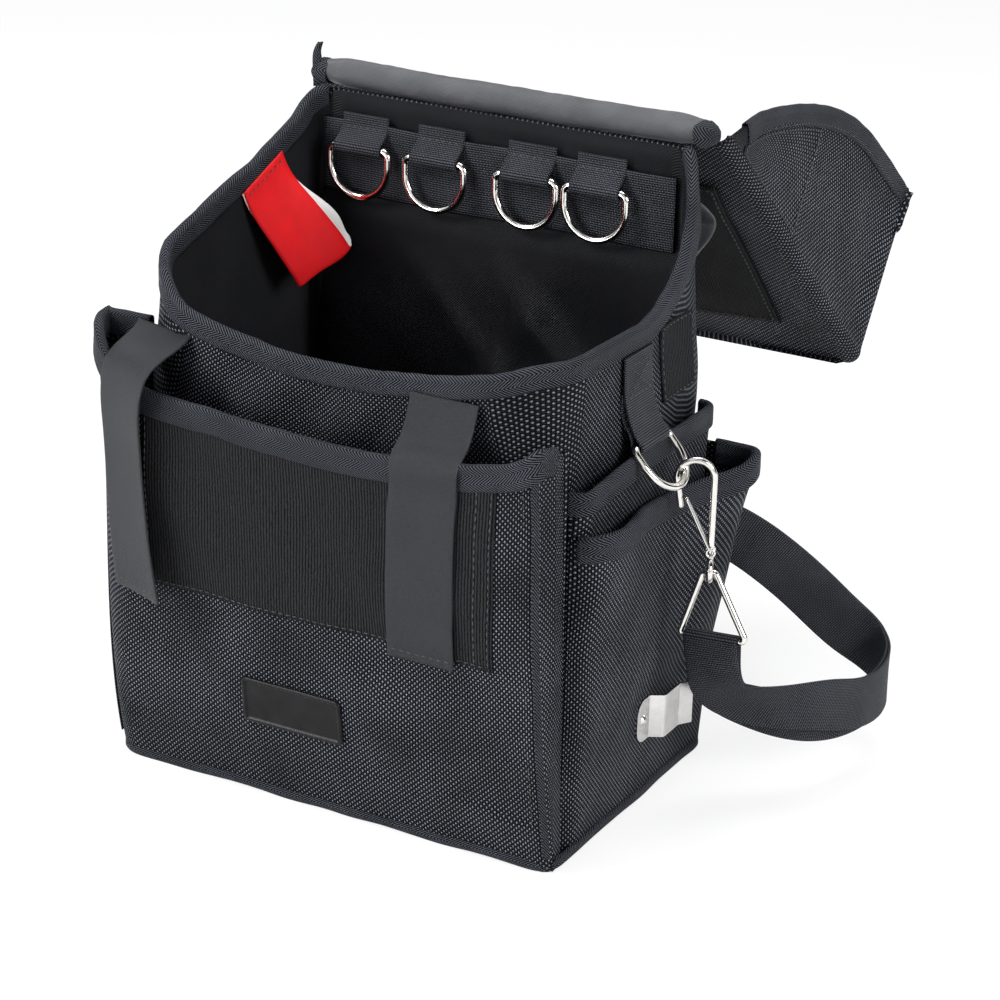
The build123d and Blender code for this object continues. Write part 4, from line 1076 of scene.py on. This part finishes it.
def make_shoulder_strap():
    """One endless webbing, doubled: out from the right ring, behind the bag, round the left ring and back."""
    lo, hi = box_mm("strap_ring_right")
    bar = np.array([(lo[0] + hi[0]) / 2, (lo[1] + hi[1]) / 2, lo[2] + HOOK_WIRE / 2 + 1.65])
    route = np.concatenate([[[0, 0, 0, 0]], STRAP_ROUTE])
    right, turn = bar + route[:, :3], 90.0 * route[:, 3]
    points = np.concatenate([right, right[-1:] * [0, 1, 1], right[::-1] * [-1, 1, 1]])
    turns = np.concatenate([turn, [90.0], 180 - turn[::-1]])
    s = lengths(points)
    at = np.linspace(0, s[-1], 520)
    centre = spline(s, points, at)
    angle = np.radians(np.interp(at, s, turns))
    angle = np.convolve(np.pad(angle, 6, mode="edge"), np.ones(13) / 13, mode="valid")
    run = tangents(centre)
    flat = unit(np.array([1.0, 0, 0]) - run * run[:, :1])
    tall = unit(np.array([0, 0, 1.0]) - run * run[:, 2:3])
    across = unit(flat * np.cos(angle)[:, None] + tall * np.sin(angle)[:, None])
    face = unit(np.cross(across, run))
    ends = np.minimum(at, at[-1] - at)
    hold = HOOK_WIRE / 2 + 0.3 + WEBBING_THICKNESS / 2
    apart = 0.82 + (hold - 0.82) * (1 - ease(ends / 20))
    gape = 9.0 * bell(ends - 92, 40)
    outer = centre + face * apart[:, None]
    inner = centre - face * (apart + gape)[:, None] + np.array([0, 0, 1.0]) * (gape * 1.3)[:, None]
    last, first = (centre[k] + sign * hold * np.array([face[k] * math.cos(a) + run[k] * math.sin(a)
                                                      for a in np.linspace(0, math.pi, 11)[1:-1]])
                   for k, sign in ((-1, 1), (0, -1)))
    path = np.concatenate([outer, last, inner[::-1], first])
    widths = np.concatenate([across, across[[-1] * 9], across[::-1], across[[0] * 9]])
    normals = np.concatenate([face, unit(last - centre[-1]), -face[::-1], unit(first - centre[0])])
    ribbon("strap_webbing", path, widths, WEBBING_WIDTH, WEBBING_THICKNESS, WEBBING, "strap", face=normals,
           closed=True, replaces="shoulder_strap")
    for near in (at[-1] - 150, 150):
        k = int(np.argmin(np.abs(at - near)))
        for d in (-5, 5):
            base = outer[k] + run[k] * d + face[k] * (WEBBING_THICKNESS / 2 + 0.1)
            seams.add(base + across[k] * np.linspace(-12, 12, 10)[:, None], face[k], "strap")


for side in ("left", "right"):
    make_ring_tab(side)
make_ring_loops(make_ring_band())
make_label()
make_shoulder_strap()


# ---------------------------------------------------------------- hood, rolled edge and loops behind the bag

HINGE = np.array([0.0, (ROLL_LO[1] + ROLL_HI[1]) / 2, (ROLL_LO[2] + ROLL_HI[2]) / 2])
ROLL_RADIUS = (ROLL_HI[2] - ROLL_LO[2]) / 2
HOOD_ANGLE = math.radians(-47.0)
HOOD_ALONG = np.array([0, math.cos(HOOD_ANGLE), math.sin(HOOD_ANGLE)])
HOOD_UP = np.array([0, -math.sin(HOOD_ANGLE), math.cos(HOOD_ANGLE)])
HOOD_START, HOOD_REACH, HOOD_LIP, HOOD_CORNER = ROLL_RADIUS + 0.6, 228.0, 113.0, 7.0
HOOD_NEAR, HOOD_FAR, HOOD_ROUND = 124.0, 145.0, 7.0
HOOD_LEAN = math.tan(math.radians(4.5))
GUSSET = ((8.6, 3.0), (28, 27), (50, 49), (84, 76), (116, 95), (150, 106), (185, 111), (214, 113), (240, 113))


def hood_half(t):
    return HOOD_NEAR + (HOOD_FAR - HOOD_NEAR) * (t - HOOD_START) / (HOOD_REACH - HOOD_START)


def left_slump(t):
    """The left wall's free edge hangs lower: its slack has sunk."""
    return 0.5 + 0.51 * t


def hood_place(x, t, n):
    return HINGE + spots(x, t, n) @ np.array([RIGHT, HOOD_ALONG, HOOD_UP])


def hood_ripple(x, t, n):
    p = spots(x, t, n)
    return bumps(p, 70.0, 41) * 3.0 + bumps(p, 28.0, 42) * 0.9


def make_hood():
    """One folded sheet: the top panel, and a wall along its sides and lip whose free edge rises from the hinge."""
    r = HOOD_CORNER
    sides = [(hood_half(t), t) for t in np.linspace(HOOD_START, HOOD_REACH - r, 46)]
    bend = arc(hood_half(HOOD_REACH - r) - r, HOOD_REACH - r, r, 0, 90, 7)[1:]
    right = np.array(sides + bend)
    n_across = 64
    lip = np.stack([np.linspace(-right[-1][0], right[-1][0], n_across), np.full(n_across, HOOD_REACH)], axis=1)
    path = np.concatenate([right * [-1, 1], lip[1:-1], right[::-1]])
    run = tangents(path)
    out = np.stack([-run[:, 1], run[:, 0]], axis=1)
    out[: len(right) // 2, 1] = 0
    ring = path - out * HOOD_ROUND
    # the panel's grid shares its border with the wall's first row
    columns = np.linspace(-1, 1, n_across)
    points, uvs_at = [], []
    for i in range(len(right)):
        half, t = -ring[i][0], ring[i][1]
        for j, c in enumerate(columns):
            spot = (ring[len(right) - 1 + j] if i == len(right) - 1 else (c * half, t))
            calm = ease((half - abs(spot[0])) / 25) * ease((HOOD_REACH - HOOD_ROUND - t) / 30)
            ripple = hood_ripple(*spot, 0.0) * calm * ease((t - HOOD_START) / 15)
            points.append(hood_place(spot[0], spot[1], -1.5 - float(ripple)))
            uvs_at.append((spot[0], spot[1]))
    faces, corners = grid_faces((len(right), n_across))
    uvs = [uvs_at[i * n_across + j] for i, j in corners]
    border = ([i * n_across for i in range(len(right))]
              + [(len(right) - 1) * n_across + j for j in range(1, n_across - 1)]
              + [i * n_across + n_across - 1 for i in range(len(right) - 1, -1, -1)])
    edge = spline(*zip(*GUSSET), path[:, 1])
    slumped = np.minimum(edge, left_slump(path[:, 1]))
    edge = np.where(path[:, 0] < 0, slumped, edge)
    edge = np.where(path[:, 1] > HOOD_REACH - r, HOOD_LIP - 3.5 * (1 - (path[:, 0] / HOOD_FAR) ** 2), edge)
    walls = [(HOOD_ROUND * (1 - math.sin(a)), HOOD_ROUND * (1 - math.cos(a)) - 1.5)
             for a in np.linspace(0, math.pi / 2, 7)[1:]]
    top = walls[-1][1]
    strip = [hood_place(*(path - out * inset).T, n) for inset, n in walls]
    for v in np.linspace(0, 1, 26)[1:]:
        n = top + (edge - top) * v
        p = path - out * (n * HOOD_LEAN)[:, None]
        bow = 3.0 * np.sin(np.clip(n / HOOD_LIP, 0, 1) * math.pi) * (path[:, 1] < HOOD_REACH - r)
        bulge = hood_ripple(p[:, 0], p[:, 1], n) * ease(n / 30) * 0.8 - bow
        at_lip = (path[:, 1] > HOOD_REACH - 0.1) * ease((HOOD_FAR - 8 - np.abs(path[:, 0])) / 20)
        free = ease((path[:, 1] - HOOD_START) / 30) * ease(np.abs(path[:, 1] - HOOD_REACH + r) / 20 + at_lip)
        p = p + out * (bulge * free)[:, None]
        strip.append(hood_place(p[:, 0], p[:, 1], n))
    strip = np.array(strip)
    base = len(points)
    points = np.concatenate([np.array(points), strip.reshape(-1, 3)])
    s = lengths(path)
    count = len(path)
    heights = np.concatenate([[0], np.cumsum(np.linalg.norm(np.diff(strip, axis=0), axis=2).mean(axis=1))]) + 2
    for k in range(count - 1):
        faces.append([border[k], border[k + 1], base + k + 1, base + k])
        uvs += [(s[k], 0), (s[k + 1], 0), (s[k + 1], 2), (s[k], 2)]
    strip_faces, corners = grid_faces(strip.shape[:2], base=base)
    faces += strip_faces
    uvs += [(s[j], heights[i]) for i, j in corners]
    # both parts face outwards: the panel down and back, the wall away from the hood
    faces = [f[::-1] for f in faces]
    uvs = [uv for k in range(0, len(uvs), 4) for uv in uvs[k:k + 4][::-1]]
    obj = mesh_object("hood_shell", points, faces, np.array(uvs), FABRIC)
    thicken(obj, 2.4, -1.0)
    settle(obj, "lid", "lid_hood")
    free = strip[-1][3:-3]
    outward = hood_place(out[:, 0], out[:, 1], 0)[3:-3] - HINGE
    up = unit(np.cross(tangents(free), outward))
    up = up * np.sign(up @ HOOD_UP)[:, None]
    s = lengths(free)
    even = np.linspace(0, s[-1], int(s[-1] / 3.2))
    edge_tape("hood_tape", *(read(values, s, even) for values in (free, outward, up)), "lid", replaces="lid_binding",
              wall=2.6)


def make_hood_patches():
    """The loop patch outside the top panel, and the sewn reinforcement on each gusset."""
    half = box_mm("lid_loop_patch")[1][0]
    x, t = np.meshgrid(np.linspace(-half, half, 70), np.linspace(50.0, 190.0, 46))
    ripple = hood_ripple(x, t, 0.0 * x) * ease((hood_half(t) - 4 - np.abs(x)) / 25) * ease((HOOD_REACH - 4 - t) / 30)
    rows = hood_place(x, t, -1.5 - ripple - 1.5)
    cloth("hood_loop_patch", rows[::-1], PILE, "lid", thickness=1.6, replaces="lid_loop_patch")
    for line in (rows[1, 1:-1], rows[-2, 1:-1], rows[1:-1, 1], rows[1:-1, -2]):
        seams.add(line - HOOD_UP * 0.1, -HOOD_UP, "lid", **FINE)
    for sign in (-1, 1):
        t = np.linspace(26 if sign > 0 else 50, 104, 34)
        top = np.minimum(spline(*zip(*GUSSET), t) - 14, 82)
        if sign < 0:
            top = np.minimum(top, left_slump(t) - 14)
        v = np.linspace(0, 1, 22)[:, None]
        n = 6 + (top - 6) * v
        tt = np.broadcast_to(t, n.shape)
        bulge = hood_ripple(sign * hood_half(tt), tt, n) * ease(n / 30) * 0.8 - 3.0 * np.sin(n / HOOD_LIP * math.pi)
        x = sign * (hood_half(tt) - n * HOOD_LEAN + bulge * ease((tt - HOOD_START) / 30) + 0.7)
        rows = hood_place(x, tt, n)
        cloth(f"hood_gusset_patch_{'right' if sign > 0 else 'left'}", rows[:, ::sign], FABRIC, "lid", thickness=0.9)
        sew_round(rows, 0.05, (sign, 0, 0), shift=(sign * 0.2, 0, 0), body="lid", **FINE)


def make_roll():
    """The satin roll at the hinge, gathered and slightly slack between its sewn ends."""
    lo, hi = ROLL_LO[0], ROLL_HI[0]
    x = np.linspace(lo, hi, 170)
    turns = np.linspace(0, 2 * math.pi, 30, endpoint=False)
    r = ROLL_RADIUS * (0.80 + 0.2 * ease(np.minimum(x - lo, hi - x) / 14))[:, None]
    rows = spots(x[:, None], HINGE[1] + r * np.cos(turns) * 1.02, HINGE[2] + r * np.sin(turns))
    out = (rows - HINGE) * [0, 1, 1]
    gathers = bumps(rows * [0.45, 1, 1], 9.0, 51) * 0.55 + bumps(rows * [1, 0.35, 0.35], 5.0, 52) * 0.22
    rows = rows + unit(out) * (gathers - 0.35)[..., None]
    rows[..., 2] -= 0.9 * np.sin((rows[..., 0] - lo) / (hi - lo) * math.pi)
    roll = cloth("roll_satin", rows, SATIN, wrap=True, replaces="hinge_roll")
    for sign, end in ((-1, lo), (1, hi)):
        step, r = np.array(((-3.0, 0.86), (0.0, 0.99), (3.0, 0.96), (6.0, 0.74), (8.0, 0.42),
                            (8.6, 0.4 / ROLL_RADIUS))).T[..., None]
        r = r * ROLL_RADIUS
        knot = spots(end + sign * step, HINGE[1] - 0.6 + r * np.cos(turns), HINGE[2] - 1.0 + r * 0.92 * np.sin(turns))
        knot += unit(knot - [end, HINGE[1], HINGE[2]]) * (bumps(knot, 5.0, 53) * 0.7)[..., None]
        cloth(f"roll_end_{'right' if sign > 0 else 'left'}", knot[:, ::sign], TAPE, wrap=True)
    # the binding's loose end that stands up at the roll's left
    tip = curve([(lo - 1.5, HINGE[1] - 4, HINGE[2] - 8), (lo - 3.0, HINGE[1] - 5, HINGE[2] + 3),
                 (lo - 4.0, HINGE[1] - 4, HINGE[2] + 11), (lo - 3.2, HINGE[1] - 2, HINGE[2] + 15)], 16)
    widths = np.linspace(9, 2.2, 16)
    rows = np.array([[p + np.array([0.75, 0.6, 0.1]) * w * v + np.array([0, -1, 0]) * 1.2 * (1 - abs(2 * v))
                      for v in np.linspace(-0.5, 0.5, 7)] for p, w in zip(tip, widths)])
    cloth("roll_tip", rows, TAPE, thickness=1.4, offset=0.0)


def make_back_loop(side):
    """A stiff smooth tape sewn to the back wall above and below, standing off so that a belt passes through."""
    lo, hi = box_mm(f"back_loop_{side}")
    centre, near, reach = (lo[0] + hi[0]) / 2, HALF_DEPTH + 1.3, hi[1] - HALF_DEPTH - 2.4
    shape = ((0.0, 70), (0.01, 62), (0.10, 55), (0.50, 43), (0.86, 33.5), (0.97, 29), (0.985, 26.5), (0.93, 23.5),
             (0.55, 17.5), (0.16, 11), (0.02, 7), (0.0, 0))
    path = curve([(centre, near + share * reach, lo[2] + up) for share, up in shape], 90)
    ribbon(f"loop_back_{side}", path, RIGHT, hi[0] - lo[0], 1.5, SATIN, replaces=f"back_loop_{side}",
           slot="hook_tape")
    for z in (lo[2] + 2.5, lo[2] + 5.5, hi[2] - 3, hi[2] - 6):
        seams.add(spots(centre + np.linspace(-17, 17, 12), near + 0.9, z), (0, 1, 0))


make_hood()
make_hood_patches()
make_roll()
for side in ("left", "right"):
    make_back_loop(side)


# ---------------------------------------------------------------- studio

def mix_shaders(tree, share, first, second):
    mix = tree.nodes.new("ShaderNodeMixShader")
    for source, socket in zip((share, first, second), mix.inputs):
        tree.links.new(source, socket)
    return mix.outputs[0]


WHITE_SHARE, MIRRORED_SHARE = 0.8, 0.35      # how much of the floor's white the camera and the metal see


def floor_material():
    """Pale and matt, and white where the camera sees it but for part of the shadow."""
    f = Finish("floor", (0.86, 0.86, 0.86), 0.9, 0.1)
    glow = f.node("Emission")
    glow.inputs["Strength"].default_value = 1.0
    seen, mirrored = (Value(f, f.node("LightPath").outputs[ray]) for ray in ("Is Camera Ray", "Is Glossy Ray"))
    share = seen.math("MAXIMUM", seen, mirrored * MIRRORED_SHARE) * WHITE_SHARE
    f.link(mix_shaders(f.tree, share.socket, f.shader.outputs[0], glow.outputs[0]),
           f.tree.nodes["Material Output"].inputs["Surface"])
    return f.material


def add_lamp(name, place, target, size, watts):
    data = bpy.data.lights.new(name, "AREA")
    data.shape, data.size, data.energy = "SQUARE", size, watts
    lamp = bpy.data.objects.new(name, data)
    lamp.location = place
    lamp.rotation_mode = "QUATERNION"
    lamp.rotation_quaternion = (Vector(target) - Vector(place)).to_track_quat("-Z", "Y")
    bpy.context.scene.collection.objects.link(lamp)


WORLD_LIGHT, MIRRORED_LIGHT = 0.42, 1.1


def add_world():
    """White for the camera, bright and dark areas round the room for what mirrors it, and a dim even light."""
    world = bpy.data.worlds.new("studio")
    bpy.context.scene.world = world
    world.use_nodes = True
    tree = world.node_tree

    def background(node, strength, colour=(1, 1, 1)):
        node.inputs["Color"].default_value = (*colour, 1)
        node.inputs["Strength"].default_value = strength
        return node

    dim = background(tree.nodes["Background"], WORLD_LIGHT, (0.95, 0.97, 1.0))
    white, mirrored = (background(tree.nodes.new("ShaderNodeBackground"), strength)
                       for strength in (1.0, MIRRORED_LIGHT))
    room = tree.nodes.new("ShaderNodeTexNoise")
    room.inputs["Scale"].default_value, room.inputs["Detail"].default_value = 1.9, 0.5
    tree.links.new(tree.nodes.new("ShaderNodeTexCoord").outputs["Generated"], room.inputs["Vector"])
    areas = tree.nodes.new("ShaderNodeValToRGB")
    for element, place, colour in zip(areas.color_ramp.elements, (0.45, 0.56), ((0.012, 0.012, 0.014), (1, 1, 1))):
        element.position, element.color = place, (*colour, 1)
    tree.links.new(room.outputs[0], areas.inputs[0])
    tree.links.new(areas.outputs[0], mirrored.inputs["Color"])
    paths, below = tree.nodes.new("ShaderNodeLightPath"), dim.outputs[0]
    for ray, shown in (("Is Glossy Ray", mirrored), ("Is Camera Ray", white)):
        below = mix_shaders(tree, paths.outputs[ray], below, shown.outputs[0])
    tree.links.new(below, tree.nodes["World Output"].inputs["Surface"])


def add_studio():
    n, radius, level = 48, 6000, -0.4
    points = [(0, 0, level)] + [(*spot, level) for spot in arc(0, 0, radius, 0, 360, n + 1)[:-1]]
    faces = [[0, 1 + k, 1 + (k + 1) % n] for k in range(n)]
    floor = mesh_object("floor", points, faces, np.zeros((3 * n, 2)), floor_material())
    add_world()
    for name, place, size, watts in (("key", (-1.3, -1.2, 1.7), 0.8, 52), ("side", (1.9, -0.3, 1.0), 0.8, 34),
                                     ("top", (0.1, 0.6, 2.1), 1.0, 34), ("low", (-0.8, -2.0, 0.45), 0.9, 26)):
        add_lamp(name, place, (0, 0, 0.17), size, watts)


CAMERA_PLACE = (0.74065, -1.25866, 0.7343)
CAMERA_AZIMUTH, CAMERA_ELEVATION, CAMERA_ROLL = 0.503, 0.3847, 0.0264
CAMERA_LENS = 108.0


def add_camera():
    """The photograph's viewpoint, as worked out from the bag's edges."""
    a, e, roll = CAMERA_AZIMUTH, CAMERA_ELEVATION, CAMERA_ROLL
    back = Vector((math.sin(a) * math.cos(e), -math.cos(a) * math.cos(e), math.sin(e)))
    right = Vector((0, 0, 1)).cross(back).normalized()
    up = back.cross(right)
    across = right * math.cos(roll) + up * math.sin(roll)
    above = up * math.cos(roll) - right * math.sin(roll)
    data = bpy.data.cameras.new("camera")
    data.lens, data.sensor_width = CAMERA_LENS, 36.0
    camera = bpy.data.objects.new("camera", data)
    camera.matrix_world = Matrix.Translation(CAMERA_PLACE) @ Matrix((across, above, back)).transposed().to_4x4()
    bpy.context.scene.collection.objects.link(camera)
    bpy.context.scene.camera = camera


CAD_FINISH = {
    "inner_ring": WIRE, "side_ring": WIRE, "snap_hook": WIRE, "strap_ring": WIRE, "hook_gate": SPRING,
    "tape_clip": STEEL, "clip_rivet": STEEL, "strap_slider": PLASTIC, "base_board": BOARD,
    "name_plate": RUBBER, "ring_loops": WEBBING, "ring_band": WEBBING, "ring_tab": WEBBING, "back_loop": SATIN,
    "hinge_roll": SATIN, "loop_panel": PILE, "side_patch": PILE, "lid_loop_patch": PILE, "hook_strap": HOOK_TAPE,
    "shoulder_strap": WEBBING, "care_label": RED, "lid_binding": TAPE, "front_pocket_binding": TAPE,
    "flat_pocket_binding": TAPE, "side_pocket_binding": TAPE, "rim_binding": TAPE,
}


SHARP_EDGE = 38      # degrees


def finish_cad_nodes():
    """Each CAD node that stays in view takes its finish."""
    for name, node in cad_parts.items():
        found = [key for key in sorted(CAD_FINISH, key=len, reverse=True) if name.startswith(key)]
        node.data.materials.clear()
        node.data.materials.append(CAD_FINISH[found[0]] if found else FABRIC)
        node.data.polygons.foreach_set("use_smooth", [True] * len(node.data.polygons))
        node.data.set_sharp_from_angle(angle=math.radians(SHARP_EDGE))


seams.build(THREAD)
finish_cad_nodes()
add_studio()
add_camera()
bpy.context.scene.view_settings.view_transform = "Standard"
